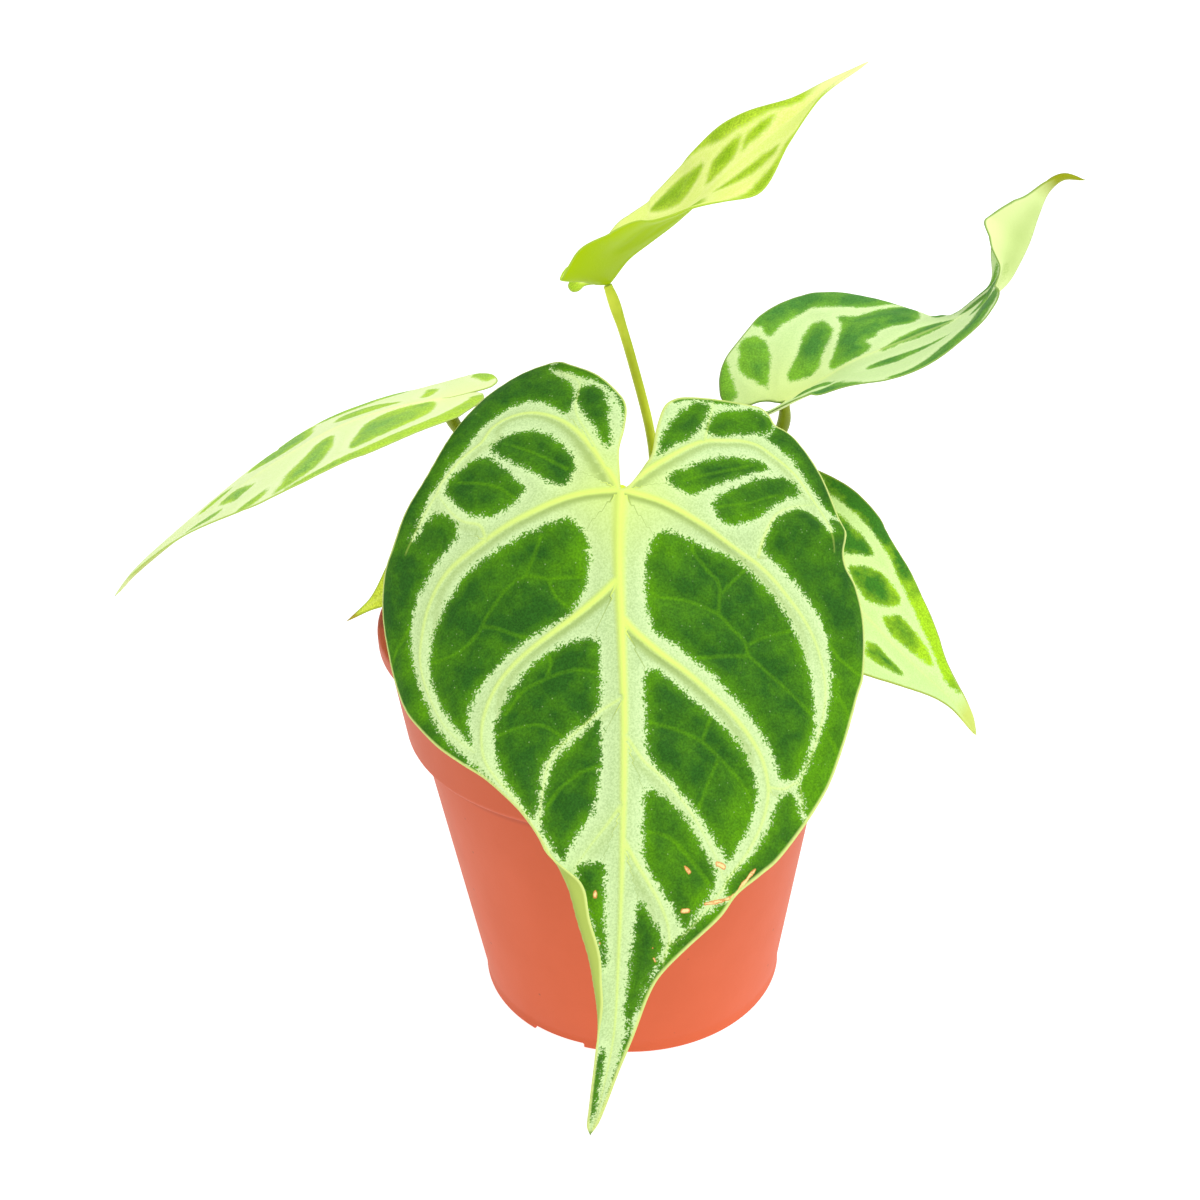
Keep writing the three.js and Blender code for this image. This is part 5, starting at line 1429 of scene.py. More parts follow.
LEAVES = [
    LeafBlade(
        LeafShape(
            blade=Blade.FRONT, facing=(0, -0.82, 0.57), joint=2,
            midrib=[
                (6.4, 2, 177), (3.9, -19, 167), (0.7, -40, 154), (-0.2, -47.5, 141.7),
                (-0.1, -57, 128), (-0.1, -65.5, 115.6), (-0.7, -74, 102.6),
                (-1.6, -81.5, 88.4), (-2.8, -87.5, 73), (-4.3, -91.5, 55.5),
                (-7.4, -93, 39.1), (-10.2, -93, 27.7),
            ],
            left=FRONT_LEFT, right=FRONT_RIGHT,
            fold_left=[(-40, -10), (0, -6), (40, -6), (65, -4), (85, 10), (110, 25), (136, 30)],
            fold_right=[(-40, -10), (0, -6), (40, -6), (70, -6), (85, 0), (110, 5), (136, 25)],
            curl_left=[(-40, -0.3), (0, -0.4), (50, -0.35), (68, 0.2), (90, 0.8), (136, 2)],
            curl_right=[(-40, -0.3), (0, -0.4), (50, -0.35), (90, 0.2), (136, 2)],
            rolled=[(66, 22, 0), (73, 15, 30), (77, 12, 110), (80, 10.4, 150), (88, 7.9, 155),
                    (95, 5.6, 155), (102, 4.2, 150), (107, 3.4, 130), (111, 2.9, 90),
                    (116, 2.6, 50), (122, 2.4, 15), (128, 2.2, 0)],
            cells=FRONT_CELLS,
            spots=[(-9, 13, 5, 0.5), (-8, 20, 4, 0.3), (9, 12, 4, 0.55), (9, 24, 5, 0.35),
                   (47, 55, 9, 0.75), (50, 40, 7, 0.55), (42, 64, 6, 0.6), (22, 69, 4, 0.7),
                   (12, 74, 5, 0.6), (26, 62, 5, 0.2), (16, 83, 4, 0.6), (-50, 34, 7, 0.35),
                   (-47, 46, 6, 0.3), (-30, 0, 6, 0.15), (-18, -6, 4, 0.2), (24, 2, 4, 0.4),
                   (13, -4, 4, 0.35), (-6, 86, 4, 0.3), (30, 75, 5, 0.4), (22, -28, 5, 0.45),
                   (-15, -35, 3, 0.4), (-12, 20, 4, 0.2), (38, 56, 4, 0.2)],
            evened=9, wave=(0.5, 23), spacing=0.54, puffed=0.75, ridge=0.95, border=(1.5, 1.1),
            tip_from=0.985,
        ),
        GROWN_FRONT, Slot.VELVET),
    LeafBlade(
        LeafShape(
            blade=Blade.TOP, facing=(-0.06, -0.98, 0.18),
            midrib=[
                (-6.1, 8, 181.6), (-1, 8, 185.5), (3.7, 6, 191.5), (8.9, 4, 195.8),
                (14.5, 3, 200), (20, 2, 204.9), (25.6, 2, 210.2), (33.4, 3, 215.9),
                (41.5, 5, 221.3), (48.4, 8, 226.2), (57, 12, 230.8),
            ],
            left=YOUNG_NEAR, right=YOUNG_FAR,
            fold_left=[(-9, 121), (0, 112), (12, 103), (30, 83), (40, 56), (50, 69), (62, 88),
                       (75, 87)],
            fold_right=[(-9, -55), (0, -65), (15, -71), (35, -63), (50, -44), (62, -48),
                        (75, -52)],
            curl_left=[(-10, 0.3), (5, 0.5), (30, 0.7), (50, 0.4), (80, 0.4)],
            curl_right=level(0.3),
            cells=TOP_CELLS, wave=(0.3, 17), spacing=0.6, puffed=0.3, ridge=0.3, tip_from=0.8,
        ),
        YOUNG_TOP, Slot.YOUNG),
    LeafBlade(
        LeafShape(
            blade=Blade.RIGHT_UP, facing=(-0.26, -0.94, 0.24),
            midrib=[
                (30.6, 24, 145.3), (42, 22, 151), (52.4, 20, 157.7), (59.8, 19, 162.3),
                (76.2, 19, 168.4), (83.8, 20, 171.7), (89.3, 22, 174.9), (94.5, 24, 178.5),
                (97.7, 26, 183), (100.2, 28, 187.7), (102.3, 30, 193.4), (104.7, 32, 198),
                (108.8, 34, 200.6), (114.5, 36, 199.8),
            ],
            half_width=32, lobe=(11, 15),
            widened=({0.568: 0.33, 0.621: 0.27, 0.675: 0.34, 0.733: 0.42, 0.79: 0.36,
                      0.855: 0.16, 0.923: 0.06},
                     {0.406: 0.76, 0.46: 0.62, 0.514: 0.46, 0.568: 0.4, 0.621: 0.4, 0.675: 0.38,
                      0.733: 0.35, 0.79: 0.26, 0.855: 0.1}),
            fold_left=[(-14, 88), (0, 87), (12, 85), (24, 76), (40, 78), (52, 91), (62, 124),
                       (72, 147), (82, 130), (92, 105)],
            fold_right=[(-14, -26), (0, -38), (20, -56), (38, -73), (50, -82), (62, -76),
                        (75, -30), (90, -20)],
            curl_left=level(0.2),
            curl_right=level(0.2),
            cells=RIGHT_UP_CELLS,
            # The first three spots are painted shade on the rolled flap's lower side
            spots=[(-3, 64, 5, 0.5), (-3, 72, 5, 0.5), (-1, 79, 4, 0.4), (18, -3.5, 4, 0.7),
                   (8, -3, 4, 0.5), (6, 4, 4, 0.5), (12, -11, 5, 0.6), (3, 15, 3, 0.3)],
            wave=(0.6, 19), puffed=0.5, tip_from=0.85,
        ),
        GROWN_HAZED, Slot.VELVET),
    LeafBlade(
        LeafShape(
            blade=Blade.LEFT, facing=(0.25, -0.9, 0.35),
            midrib=[
                (-29.5, 12, 160.6), (-40.6, 9.5, 158.9), (-53.4, 5.8, 157.8),
                (-65.9, 0.9, 155.1), (-76.7, -5, 150.8), (-84.9, -7, 146.2),
                (-96.6, -8, 138.2), (-108.7, -8, 129.4), (-116.6, -7, 123),
                (-122.6, -5, 116.9),
            ],
            half_width=29, lobe=(14, 9),
            widened=(NARROW_SINUS, NARROW_SINUS),
            fold_left=[(-20, -69), (0, -80), (40, -84.5), (60, -81), (90, -65)],
            fold_right=[(-20, 81), (0, 77), (40, 73), (60, 81), (90, 101)],
            cells=LEFT_CELLS,
            spots=[(27, 10, 6, 0.9), (22, 1, 6, 0.9), (13, -5, 5, 0.8), (26, 22, 6, 0.7),
                   (10, 8, 6, 0.35), (4, 12, 5, 0.3), (-14, 16, 6, 0.3), (-12, 2, 5, 0.7),
                   (-10, -11, 5, 0.3)],
            wave=(0.5, 21), ridge=0.4,
        ),
        PALE_LEFT, Slot.VELVET),
    LeafBlade(
        LeafShape(
            blade=Blade.RIGHT_LOW, facing=(-0.19, -0.86, 0.47),
            midrib=[
                (31.9, -3, 134.7), (40.7, -8, 126), (48.6, -14, 119.2), (57, -18, 111.2),
                (63.8, -20, 104.1), (71.1, -20, 96.3), (79, -19, 87.7), (85.9, -17, 77.5),
            ],
            left=LOW_LEFT, right=LOW_RIGHT,
            fold_left=[(-20, 45), (0, 46), (20, 53), (40, 68), (70, 71)],
            fold_right=[(-20, -28), (0, -34), (20, -47), (40, -40), (70, -10)],
            cells=RIGHT_LOW_CELLS,
            spots=[(14, 37, 4, 1.1), (9, 44, 4, 0.9), (5, 50, 3, 0.8), (18, 30, 4, 0.3),
                   (5, 44, 3, 0.8), (12, 27, 3, 0.3), (22, 4, 14, -0.35), (9, 18, 9, -0.25)],
            puffed=0.5, tip_from=0.82,
        ),
        GROWN_LOW, Slot.VELVET),
    LeafBlade(
        LeafShape(
            blade=Blade.SMALL, facing=(0.15, -0.9, 0.42),
            midrib=[
                (-40, 4, 127.5), (-43.4, 0, 125.4), (-46.8, -4, 123.4), (-51.4, -8, 120.6),
                (-57.5, -10, 116.5), (-62.2, -10, 113.2), (-65.9, -11, 111.1),
            ],
            half_width=8, lobe=(3.5, 3.5),
            fold_left=[(0, -30), (40, -28)],
            fold_right=[(0, 31), (40, 30)],
            wave=(0.2, 11), spacing=0.5, puffed=0.1, ridge=0.2,
        ),
        YOUNG_SMALL, Slot.YOUNG),
]


@dataclass(frozen=True)
class StalkFinish:
    """Living leaf stalk. A smooth waxy skin over green tissue, finely ribbed lengthwise.

    Attributes:
        name: The material's name.
        skin: Main colour.
        shade: Colour of its darker patches.
    """

    name: str
    skin: str
    shade: str

    def material(self) -> bpy.types.Material:
        """Builds the stalk's material.

        Returns:
            The material.
        """
        graph = Graph(self.name)
        patch = graph.noise(6.0, 3.0)
        colour = graph.mix(graph.ramp(patch, 0.35, 0.7), self.skin, self.shade)
        return graph.finished(colour, graph.ramp(patch, 0.0, 1.0, 0.38, 0.52), 0.4, {
            "Normal": graph.bump(graph.noise(0.5, 2.0), 0.3, 0.12)})


@dataclass
class Petiole:
    """A leaf's stalk, from its socket in the crown to the blade's joint.

    Attributes:
        name: The leaf's name.
        radius: Its radius in mm.
        finish: Its skin.
        path: Its course in mm.
        spacing: Length of its segments in mm.
        foot: How far its foot swells, as a share, and over what length in mm.
        neck: The same under the blade, where the leaf turns.
        neck_from: Distance of that swelling's middle from the end, in mm.
        taper: The same for the taper at its end.
    """

    name: str
    radius: float
    finish: StalkFinish
    path: list[Triple]
    spacing: float = 0.8
    foot: Pair = (0.18, 9.0)
    neck: Pair = (0.22, 3.5)
    neck_from: float = 5.0
    taper: Pair = (-0.12, 1.6)

    def build(self) -> None:
        """Makes the stalk as a round curve, swollen at its foot and under the blade."""
        line = resample(catmull_rom(self.path, 12), self.spacing)
        run = np.linspace(0, 1, len(line)) * self.spacing * len(line)
        left = run[-1] - run
        swell = np.ones(len(line))
        for (share, reach), away in ((self.foot, run), (self.neck, left - self.neck_from),
                                     (self.taper, left)):
            swell += share * np.exp(-((away / reach) ** 2))
        name = f"petiole_{self.name}_stalk"
        curve = bpy.data.curves.new(name, "CURVE")
        curve.dimensions = "3D"
        curve.bevel_depth = MM
        curve.bevel_resolution = 6
        curve.use_fill_caps = True
        spline = curve.splines.new("POLY")
        spline.points.add(len(line) - 1)
        spline.points.foreach_set("co", np.hstack([line * MM, np.ones((len(line), 1))]).ravel())
        spline.points.foreach_set("radius", (swell * self.radius).astype(np.float32))
        make_active(link_new(name, curve))
        bpy.ops.object.convert(target="MESH")
        obj = bpy.context.object
        smooth(obj, 50)
        seat_piece(obj, self.finish.material(), Slot.PETIOLE, f"petiole_{self.name}")


BRIGHT_STALK = StalkFinish("leaf_stalk_bright", "#E6F240", "#D2E230")
OLIVE_STALK = StalkFinish("leaf_stalk_olive", "#9EAE1C", "#869615")

PETIOLES = [
    Petiole("front", 1.7, BRIGHT_STALK, [
        (1, 0.5, 94.8), (1, 0.5, 100), (1.2, -2, 106), (1.4, -9, 122), (1.5, -21, 139.5),
        (1, -32, 148.6), (0.7, -39.3, 153.5)]),
    Petiole("top", 1.15, BRIGHT_STALK, [
        (2.8, 5.2, 94.8), (2.8, 5.2, 100), (6, 6, 115), (8.6, 6, 138), (8.2, 6.4, 150),
        (4.2, 7.4, 168), (0.9, 8, 180), (-0.8, 8, 185.2)]),
    Petiole("right_up", 1.35, OLIVE_STALK, [
        (6, 7, 94.8), (6, 7, 100), (9, 9.5, 108), (20, 14, 120), (32, 18.5, 131),
        (39.2, 20.8, 140.5), (41.7, 21.4, 146), (42, 21.9, 150.7)]),
    Petiole("left", 1.3, OLIVE_STALK, [
        (-3.8, 5.6, 94.8), (-3.8, 5.6, 100), (-6, 6, 107), (-16, 8, 122), (-28, 9.6, 139),
        (-36.5, 9.8, 149.5), (-39.4, 9.6, 154.5), (-40.5, 9.5, 158.6)]),
    Petiole("right_low", 1.3, BRIGHT_STALK, [
        (6.2, 1.6, 94.8), (6.2, 1.6, 100), (9, 0, 109), (16, -1.5, 117), (27, -3.4, 123),
        (36, -4.8, 124.2), (40.5, -7.6, 125.8)]),
    Petiole("small", 1.0, BRIGHT_STALK, [
        (-4, 1, 94.8), (-4, 1, 100), (-7, 1.4, 107), (-16, 3.4, 116), (-28, 5, 121.5),
        (-37, 5.2, 123.4), (-43.3, 0.5, 125.2)]),
]


@dataclass(frozen=True)
class PotPlastic:
    """Polypropylene, injection moulded in terracotta orange. The mould leaves a satin skin with
    faint flow mottling, and use leaves a few specks of soil.

    Attributes:
        light: Colour at the foot.
        deep: Colour at the rim, with painted shade of the leaves; also the darker mottling.
        speck: Specks of soil.
        shade: Painted shade in the corner under the collar, which light hardly reaches.
        corner: Height of that corner in mm.
    """

    light: str = "#DC643A"
    deep: str = "#C65932"
    speck: str = "#8E4A34"
    shade: str = "#9A3F26"
    corner: float = 78.4

    def material(self) -> bpy.types.Material:
        """Builds the plastic's material.

        Returns:
            The material.
        """
        graph = Graph("moulded_polypropylene_terracotta")
        flow = add_node(graph.tree, "ShaderNodeMapping", {
            "Vector": graph.place, "Scale": (1.0, 1.0, 0.7)}).outputs[0]
        mottle = graph.noise(16.0, 5.0, 0.55, flow)
        height = add_node(graph.tree, "ShaderNodeSeparateXYZ", {
            "Vector": graph.place}).outputs["Z"]
        # Flow mottling, and painted shade of the leaves that darkens the pot towards the rim
        deep = graph.math("ADD", graph.ramp(mottle, 0.3, 0.7, -0.12, 0.12),
                          graph.ramp(height, 5 * MM, 90 * MM), clamp=True)
        colour = graph.mix(deep, self.light, self.deep)
        # Painted shade in a band on the body just under the collar's edge
        corner = graph.product(
            graph.ramp(height, (self.corner - 4.2) * MM, (self.corner - 2.4) * MM, 0.0, 0.5,
                       even=False),
            graph.math("LESS_THAN", height, self.corner * MM))
        colour = graph.mix(corner, colour, self.shade)
        colour = graph.mix(graph.ramp(graph.dots(7.0), 0.035, 0.06, 0.5, 0.0), colour, self.speck)
        return graph.finished(colour, graph.ramp(mottle, 0.0, 1.0, 0.46, 0.6), 0.22, {
            "Normal": graph.bump(graph.noise(0.8, 3.0), 0.25, 0.1), "IOR": 1.49})


@dataclass
class NurseryPot:
    """The moulded pot with its wide collar, drain holes and arched foot. Sizes in mm.

    Attributes:
        rim_radius: Radius of the lip.
        height: Height of the pot.
        lip_foot: Height of the lip's lower edge.
        collar_top: Radius of the collar under the lip.
        collar_foot: Radius of its lower edge.
        step: Height of that edge.
        body_top: Radius of the body under the collar.
        foot: Radius of the foot.
        wall: Thickness of the wall and the floor.
        recess: How far the floor stands above the foot ring.
        pad: Radius of the pad in the floor's middle.
        ring: Width of the foot ring.
        drains: How many drain holes it has.
        drain_radius: Their radius.
        drain_circle: Radius of the circle that they stand on.
        arch_width: Width of the arches in the foot.
        arch_height: Their height.
        arch_azimuths: Where they stand, in degrees from the front.
        finish: What it is made of.
    """

    rim_radius: float = 60.0
    height: float = 108.0
    lip_foot: float = 103.0
    collar_top: float = 58.2
    collar_foot: float = 55.2
    step: float = 78.4
    body_top: float = 52.1
    foot: float = 39.8
    wall: float = 1.5
    recess: float = 2.0
    pad: float = 18.0
    ring: float = 3.4
    drains: int = 6
    drain_radius: float = 3.4
    drain_circle: float = 28.0
    arch_width: float = 15.0
    arch_height: float = 1.7
    arch_azimuths: Triple = (-29.5, 90.5, 210.5)
    finish: PotPlastic = PotPlastic()

    def _profile(self) -> Line:
        """The wall's section, from the middle of its foot out, up and back in.

        Returns:
            Radius and height pairs.
        """
        lean = (self.body_top - self.foot) / self.step
        flare = (self.collar_top - self.collar_foot) / (self.lip_foot - self.step)
        floor = self.recess + self.wall
        inside_foot = self.foot - self.wall + lean * floor
        profile = [
            (0, 0), (self.pad, 0), (self.pad + 1.2, self.recess),
            (self.foot - self.ring - 1.2, self.recess), (self.foot - self.ring, 0),
            (self.foot + 0.2, 0), (self.foot + 0.7, 0.5), (self.foot + 0.6, 2.4),
            (self.foot + 4 * lean, 3.6), (self.body_top - 2.4 * lean, self.step - 2.4),
            (self.collar_foot + flare, self.step + 0.6), (self.collar_top, self.lip_foot),
            (self.rim_radius, self.lip_foot + 0.8), (self.rim_radius, self.height),
            (self.collar_top - self.wall + 0.4, self.height),
            (self.collar_top - self.wall, self.lip_foot),
            (self.collar_foot - self.wall, self.step + 2),
            (self.body_top - self.wall, self.step - 1), (inside_foot, floor), (0, floor),
        ]
        soft = {1: 0.4, 4: 0.4, 5: 0.4, 6: 0.4, 7: 0.5, 8: 0.5, 9: 0.8, 10: 1.0, 11: 0.9,
                12: 0.6, 13: 1.2, 14: 0.8, 18: 2.0}
        return rounded(profile, soft)

    def _cut(self, pot: Piece, cutter: Piece) -> None:
        """Cuts one tool's shape out of the pot and removes the tool.

        Args:
            pot: The pot.
            cutter: The tool.
        """
        make_active(pot)
        cut = pot.modifiers.new("cut", "BOOLEAN")
        cut.operation = "DIFFERENCE"
        cut.solver = "EXACT"
        cut.object = cutter
        bpy.ops.object.modifier_apply(modifier=cut.name)
        bpy.data.objects.remove(cutter)

    def build(self) -> None:
        """Turns the pot, then cuts its drain holes and the arches in its foot."""
        pot = turned("pot_moulded", self._profile(), 160)
        for number in range(self.drains):
            angle = math.tau * (number + 0.5) / self.drains
            where = Vector((math.cos(angle), math.sin(angle), 0)) * self.drain_circle * MM
            deselect_all()
            bpy.ops.mesh.primitive_cylinder_add(
                vertices=32, radius=self.drain_radius * MM, depth=10 * MM,
                location=where + Vector((0, 0, 3 * MM)))
            self._cut(pot, bpy.context.object)
        for azimuth in self.arch_azimuths:
            turn = math.radians(azimuth)
            where = Vector((math.sin(turn), -math.cos(turn), 0)) * (self.foot - 1) * MM
            deselect_all()
            bpy.ops.mesh.primitive_cube_add(
                size=MM, location=where, rotation=(0, 0, turn),
                scale=(self.arch_width, 8, 2 * self.arch_height))
            bpy.ops.object.transform_apply(location=False, rotation=False, scale=True)
            edit_all()
            bpy.ops.mesh.bevel(offset=0.4 * MM, segments=3, affect="EDGES")
            close_edit()
            self._cut(pot, bpy.context.object)
        smooth(pot, 42)
        seat_piece(pot, self.finish.material(), Slot.POT, "pot")


@dataclass(frozen=True)
class MixFinish:
    """Potting mix or bark, a matte porous material with strong grain of light and dark.

    Attributes:
        name: The material's name.
        dark: Damp parts.
        light: Dry parts.
        grain: Size of the grain in mm.
    """

    name: str
    dark: str
    light: str
    grain: float

    def material(self) -> bpy.types.Material:
        """Builds the mix's material.

        Returns:
            The material.
        """
        graph = Graph(self.name)
        grain = graph.noise(self.grain, 6.0, 0.7)
        colour = graph.mix(graph.ramp(grain, 0.35, 0.68), self.dark, self.light)
        return graph.finished(colour, graph.ramp(grain, 0.0, 1.0, 0.85, 1.0), 0.2, {
            "Normal": graph.bump(grain, 0.9, 0.8)})


@dataclass
class PottingMix:
    """The peat plug with an uneven top, and bark and mineral bits on it. Sizes in mm.

    Attributes:
        top: Height of the mix.
        edge: Its radius there.
        section: The plug's radius and height from its foot up, by the pot's wall.
        chips: How many bits of bark lie on it.
        grit: How many bits of perlite.
        clear: Radius round the crown that stays free of bits.
        strewn: Width of the ring in which they lie.
    """

    top: float = 97.0
    edge: float = 55.0
    section: tuple[Pair, ...] = ((0, 3.8), (36, 3.8), (38.2, 5.6), (50.1, 79), (53.3, 82.6))
    chips: int = 90
    grit: int = 110
    clear: float = 12.0
    strewn: float = 40.0

    def height(self, x: float, y: float) -> float:
        """The top's height at a place.

        Args:
            x: The place, from the pot's axis.
            y: The same.

        Returns:
            The height.
        """
        swell = math.sin(0.31 * x + 1.3) * math.cos(0.27 * y - 0.4)
        lump = math.sin(0.83 * x - 0.5 * y) * math.cos(0.71 * y + 0.35 * x + 0.9)
        fine = noise.fractal(Vector((x, y, 0.0)) * 0.45, 0.8, 2.1, 5)
        return self.top + 1.1 * (0.6 * swell + 0.4 * lump) + 0.55 * fine

    def build(self) -> None:
        """Makes the plug, the bark chips and the mineral grit."""
        rings = [(self.edge * share, self.top) for share in np.linspace(0.985, 0, 70)]
        plug = turned("soil_peat", [*self.section, (self.edge, self.top - 1.2), *rings], 150)
        for vertex in plug.data.vertices:
            if vertex.co.z > (self.top - 0.5) * MM:
                vertex.co.z = self.height(vertex.co.x / MM, vertex.co.y / MM) * MM
        smooth(plug, 60)
        peat = MixFinish("damp_peat", "#2B2019", "#6B5240", 2.2)
        seat_piece(plug, peat.material(), Slot.SOIL, "soil")
        bark = MixFinish("composted_bark", "#4A3323", "#8A6244", 1.6)
        bits = self._scatter("soil_bark", self.chips, (3.0, 9.0), 0.45, 11)
        seat_piece(bits, bark.material(), Slot.SOIL)
        mineral = MixFinish("expanded_perlite", "#B9B2A4", "#EFEBE2", 0.7)
        grit = self._scatter("soil_perlite", self.grit, (1.2, 2.8), 0.85, 5)
        seat_piece(grit, mineral.material(), Slot.SOIL)

    def _scatter(self, name: str, count: int, sizes: Pair, flatness: float, seed: int) -> Piece:
        """Models one rough bit and lays copies of it on the mix.

        Args:
            name: The piece's name.
            count: How many bits.
            sizes: Smallest and largest length.
            flatness: Height against length.
            seed: Seed of the draw.

        Returns:
            All bits as one piece.
        """
        deselect_all()
        bpy.ops.mesh.primitive_cube_add(size=1, location=(0, 0, 0))
        bit = bpy.context.object
        edit_all()
        bpy.ops.mesh.bevel(offset=0.16, segments=2, affect="EDGES")
        bpy.ops.mesh.subdivide(number_cuts=1)
        close_edit()
        draw = np.random.default_rng(seed)
        copies = []
        for number in range(count):
            angle = draw.uniform(0, math.tau)
            reach = self.clear + self.strewn * math.sqrt(draw.uniform(0, 1))
            x, y = reach * math.cos(angle), reach * math.sin(angle)
            long = draw.uniform(*sizes)
            size = Vector((long, long * draw.uniform(0.4, 0.8), long * flatness * 0.5)) * MM
            mesh = bit.data.copy()
            for vertex in mesh.vertices:
                jag = noise.noise_vector(vertex.co * 1.7 + Vector((number, 0, 0))) * 0.22
                vertex.co = vertex.co + jag
            turn = (Matrix.Rotation(draw.uniform(0, math.tau), 4, "Z")
                    @ Matrix.Rotation(draw.uniform(-0.35, 0.35), 4, "X")
                    @ Matrix.Rotation(draw.uniform(-0.35, 0.35), 4, "Y"))
            lift = (self.height(x, y) + 0.15 * long * flatness) * MM
            mesh.transform(Matrix.Translation((x * MM, y * MM, lift)) @ turn
                           @ Matrix.Diagonal((*size, 1)))
            copies.append(link_new(f"{name}_{number}", mesh))
        bpy.data.objects.remove(bit)
        return join_pieces(copies, name, 35)


@dataclass
class Crown:
    """The short stem that the stalks rise from, with dry sheaths round it. Sizes in mm.

    Attributes:
        centre: Where its axis stands.
        radius: Its largest radius.
        foot: Height of its lower end, in the soil.
        top: Height of its upper end.
        waists: How far its side lies inside that radius, at heights from the foot up.
        lumps: Height of its lumps.
        sheaths: Where each sheath stands round the stem, in radians, and its height.
        wrap: How far a sheath reaches round the stem to each side, in radians.
        lean: How far its tip leans out.
        paper: Its thickness.
    """

    centre: Pair = (1.0, 2.5)
    radius: float = 8.2
    foot: float = 80.0
    top: float = 101.0
    waists: tuple[Pair, ...] = ((2.4, 80), (0.8, 84), (0.2, 89), (0, 92), (0.5, 94), (0, 96.5),
                                (0.7, 98.5), (2, 100.4), (3.4, 101))
    lumps: float = 0.5
    sheaths: tuple[Pair, ...] = ((0.75, 15), (3.2, 17), (5.6, 13), (1.9, 11), (4.4, 12))
    wrap: float = 0.62
    lean: float = 3.2
    paper: float = 0.35

    def build(self) -> None:
        """Makes the stem and its papery sheaths."""
        profile = [(0, self.foot), *((self.radius - inset, z) for inset, z in self.waists),
                   (2.4, self.top - 0.8), (0, self.top - 1.4)]
        stem = turned("crown_stem", profile, 72)
        for vertex in stem.data.vertices:
            lump = noise.fractal(vertex.co * 260, 0.9, 2.0, 4) * self.lumps * MM
            flat = Vector((vertex.co.x, vertex.co.y, 0))
            if flat.length > MM:
                vertex.co += flat.normalized() * lump
            vertex.co.x += self.centre[0] * MM
            vertex.co.y += self.centre[1] * MM
        smooth(stem, 60)
        green = MixFinish("stem_tissue", "#6F7E2A", "#A3AE48", 3.0)
        seat_piece(stem, green.material(), Slot.CROWN, "crown")
        dry = MixFinish("dry_sheath", "#8A6A3C", "#C2A468", 1.2)
        scales = [self._sheath(i, *given) for i, given in enumerate(self.sheaths)]
        seat_piece(join_pieces(scales, "crown_sheaths", 60), dry.material(), Slot.CROWN)

    def _sheath(self, number: int, azimuth: float, height: float) -> Piece:
        """One pointed papery scale, wrapped round the stem and leaning out at its tip.

        Args:
            number: The scale's number.
            azimuth: Where it stands round the stem.
            height: Its height.

        Returns:
            The scale.
        """
        deselect_all()
        bpy.ops.mesh.primitive_grid_add(x_subdivisions=10, y_subdivisions=18, size=2)
        scale = bpy.context.object
        scale.name = f"sheath_{number}"
        for vertex in scale.data.vertices:
            across, up = vertex.co.x, (vertex.co.y + 1) / 2
            width = self.wrap * (1 - up**2.2) + 0.02
            angle = azimuth - math.pi / 2 + across * width
            reach = self.radius + 0.25 + self.lean * up**2.4 + 0.25 * math.sin(9 * up + number)
            vertex.co = Vector((
                (self.centre[0] + reach * math.cos(angle)) * MM,
                (self.centre[1] + reach * math.sin(angle)) * MM,
                (self.top - 7 + height * up) * MM,
            ))
        make_active(scale)
        thick = scale.modifiers.new("paper", "SOLIDIFY")
        thick.thickness = self.paper * MM
        thick.offset = 0
        bpy.ops.object.modifier_apply(modifier=thick.name)
        edit_all()
        bpy.ops.mesh.normals_make_consistent(inside=False)
        close_edit()
        return scale


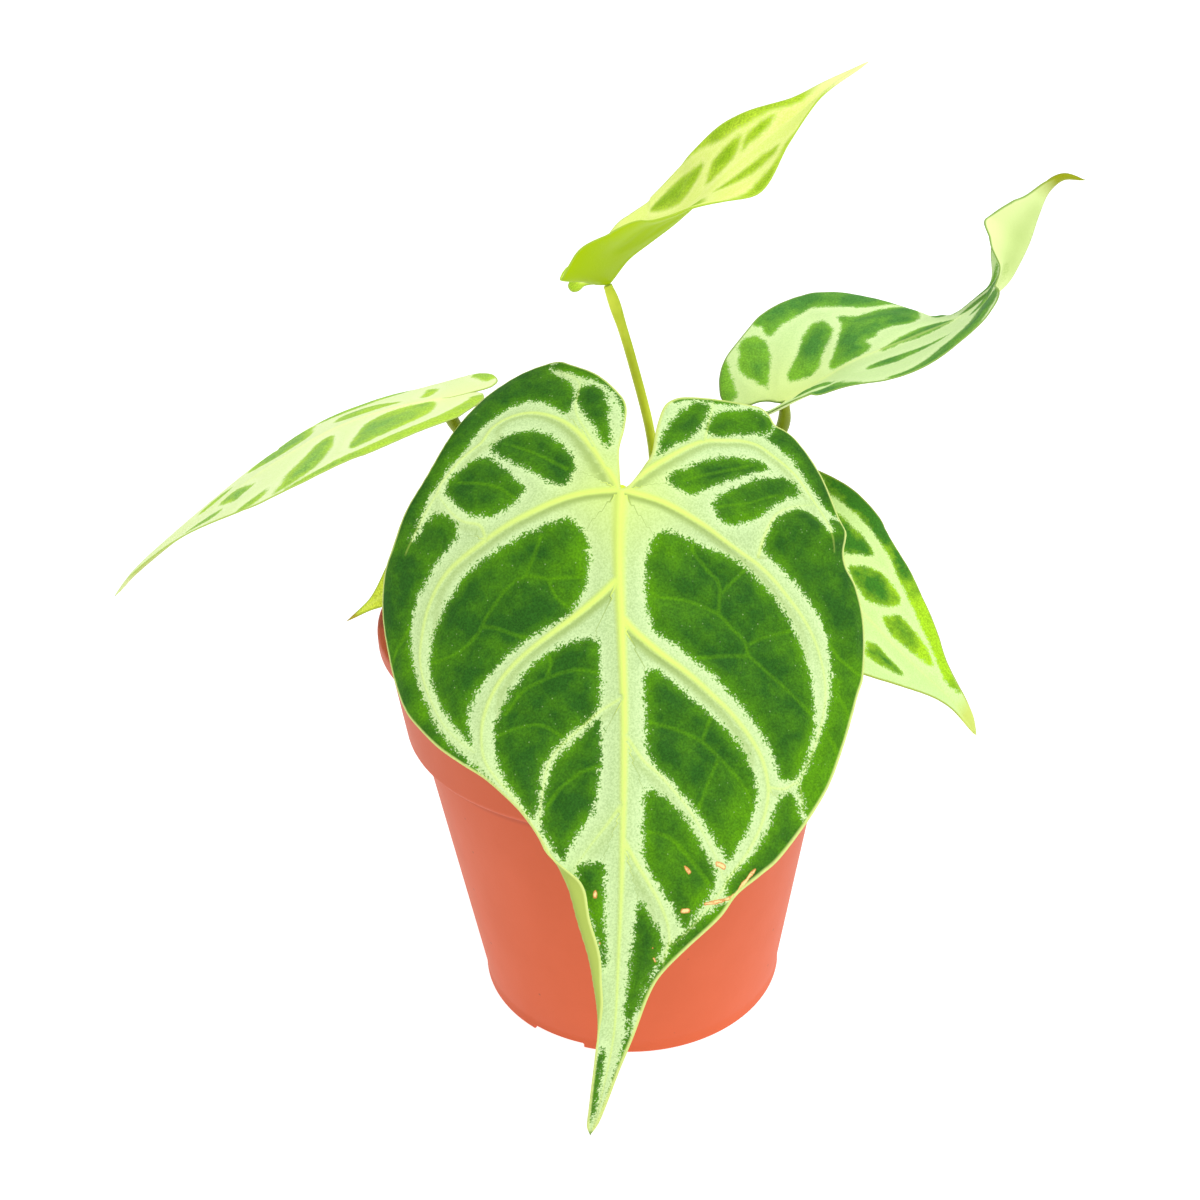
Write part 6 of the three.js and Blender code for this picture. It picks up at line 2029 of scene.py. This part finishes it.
@dataclass
class Studio:
    """A pale seamless floor, soft light and the camera of the photograph.

    Attributes:
        camera_at: The camera's place, in mm.
        down: How far it looks down, in degrees.
        yaw: Its turn to the left, in degrees.
        roll: Its roll, in degrees.
        focal: Focal length in pixels of the square image.
        image: The image's side in pixels.
        sensor: Width of the camera's sensor, in mm.
        light_from: Where the main light comes from.
        power: Its strength.
        softness: Its angle, in degrees.
        fill: Strength of the even light.
        glow: Strength of the light through the floor.
    """

    camera_at: Triple = (0.0, -316.0, 264.70)
    down: float = 26.198
    yaw: float = -0.943
    roll: float = -2.213
    focal: float = 1427.0
    image: float = 1200.0
    sensor: float = 36.0
    light_from: Triple = (0.32, -0.28, 0.9)
    power: float = 2.0
    softness: float = 32.0
    fill: float = 0.62
    glow: float = 0.95

    def build_camera(self) -> None:
        """Places the camera."""
        tilt, turn, lean = (math.radians(a) for a in (self.down, self.yaw, self.roll))
        ahead = Vector((math.sin(turn) * math.cos(tilt), math.cos(turn) * math.cos(tilt),
                        -math.sin(tilt)))
        sideways = Vector((math.cos(turn), -math.sin(turn), 0))
        above = sideways.cross(ahead)
        right = sideways * math.cos(lean) + above * math.sin(lean)
        up = above * math.cos(lean) - sideways * math.sin(lean)
        camera = bpy.data.cameras.new("camera")
        camera.sensor_width = self.sensor
        camera.lens = self.sensor * self.focal / self.image
        camera.clip_start, camera.clip_end = 0.01, 60.0
        obj = link_new("camera", camera)
        place = Matrix((right, up, -ahead)).transposed().to_4x4()
        place.translation = Vector(self.camera_at) * MM
        obj.matrix_world = place
        bpy.context.scene.camera = obj

    def build_floor(self) -> None:
        """Lays the floor: matte white seamless paper, lit through from below."""
        deselect_all()
        bpy.ops.mesh.primitive_plane_add(size=30, location=(0, 0, -0.4 * MM))
        floor = bpy.context.object
        floor.name = "floor"
        graph = Graph("seamless_paper")
        colour = graph.mix(graph.noise(220.0, 2.0), "#A4A5A5", "#A8A9A9")
        floor.data.materials.append(graph.finished(colour, 0.95, 0.05, {
            "Emission Color": (1.0, 1.0, 1.0, 1.0), "Emission Strength": self.glow}))

    def build_light(self) -> None:
        """Lights the room: a wide soft light from the front and above, and even fill."""
        light = bpy.data.lights.new("skylight", "SUN")
        light.angle = math.radians(self.softness)
        light.energy = self.power
        obj = link_new("skylight", light)
        obj.rotation_euler = Vector(self.light_from).to_track_quat("Z", "Y").to_euler()
        world = bpy.data.worlds.new("studio")
        bpy.context.scene.world = world
        world.use_nodes = True
        background = world.node_tree.nodes["Background"]
        background.inputs["Color"].default_value = (1.0, 1.0, 1.0, 1.0)
        background.inputs["Strength"].default_value = self.fill
        bpy.context.scene.view_settings.view_transform = "Standard"
        bpy.context.scene.view_settings.look = "None"


def main() -> None:
    """Builds the plant, the pot and the studio, in order."""
    logging.basicConfig(level=logging.INFO, format="%(name)s: %(message)s")
    noise.seed_set(NOISE_SEED)
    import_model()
    studio = Studio()
    studio.build_camera()
    for thing in (NurseryPot(), PottingMix(), Crown(), *PETIOLES, *LEAVES):
        thing.build()
    studio.build_floor()
    studio.build_light()
    deselect_all()


if __name__ == "__main__":
    main()
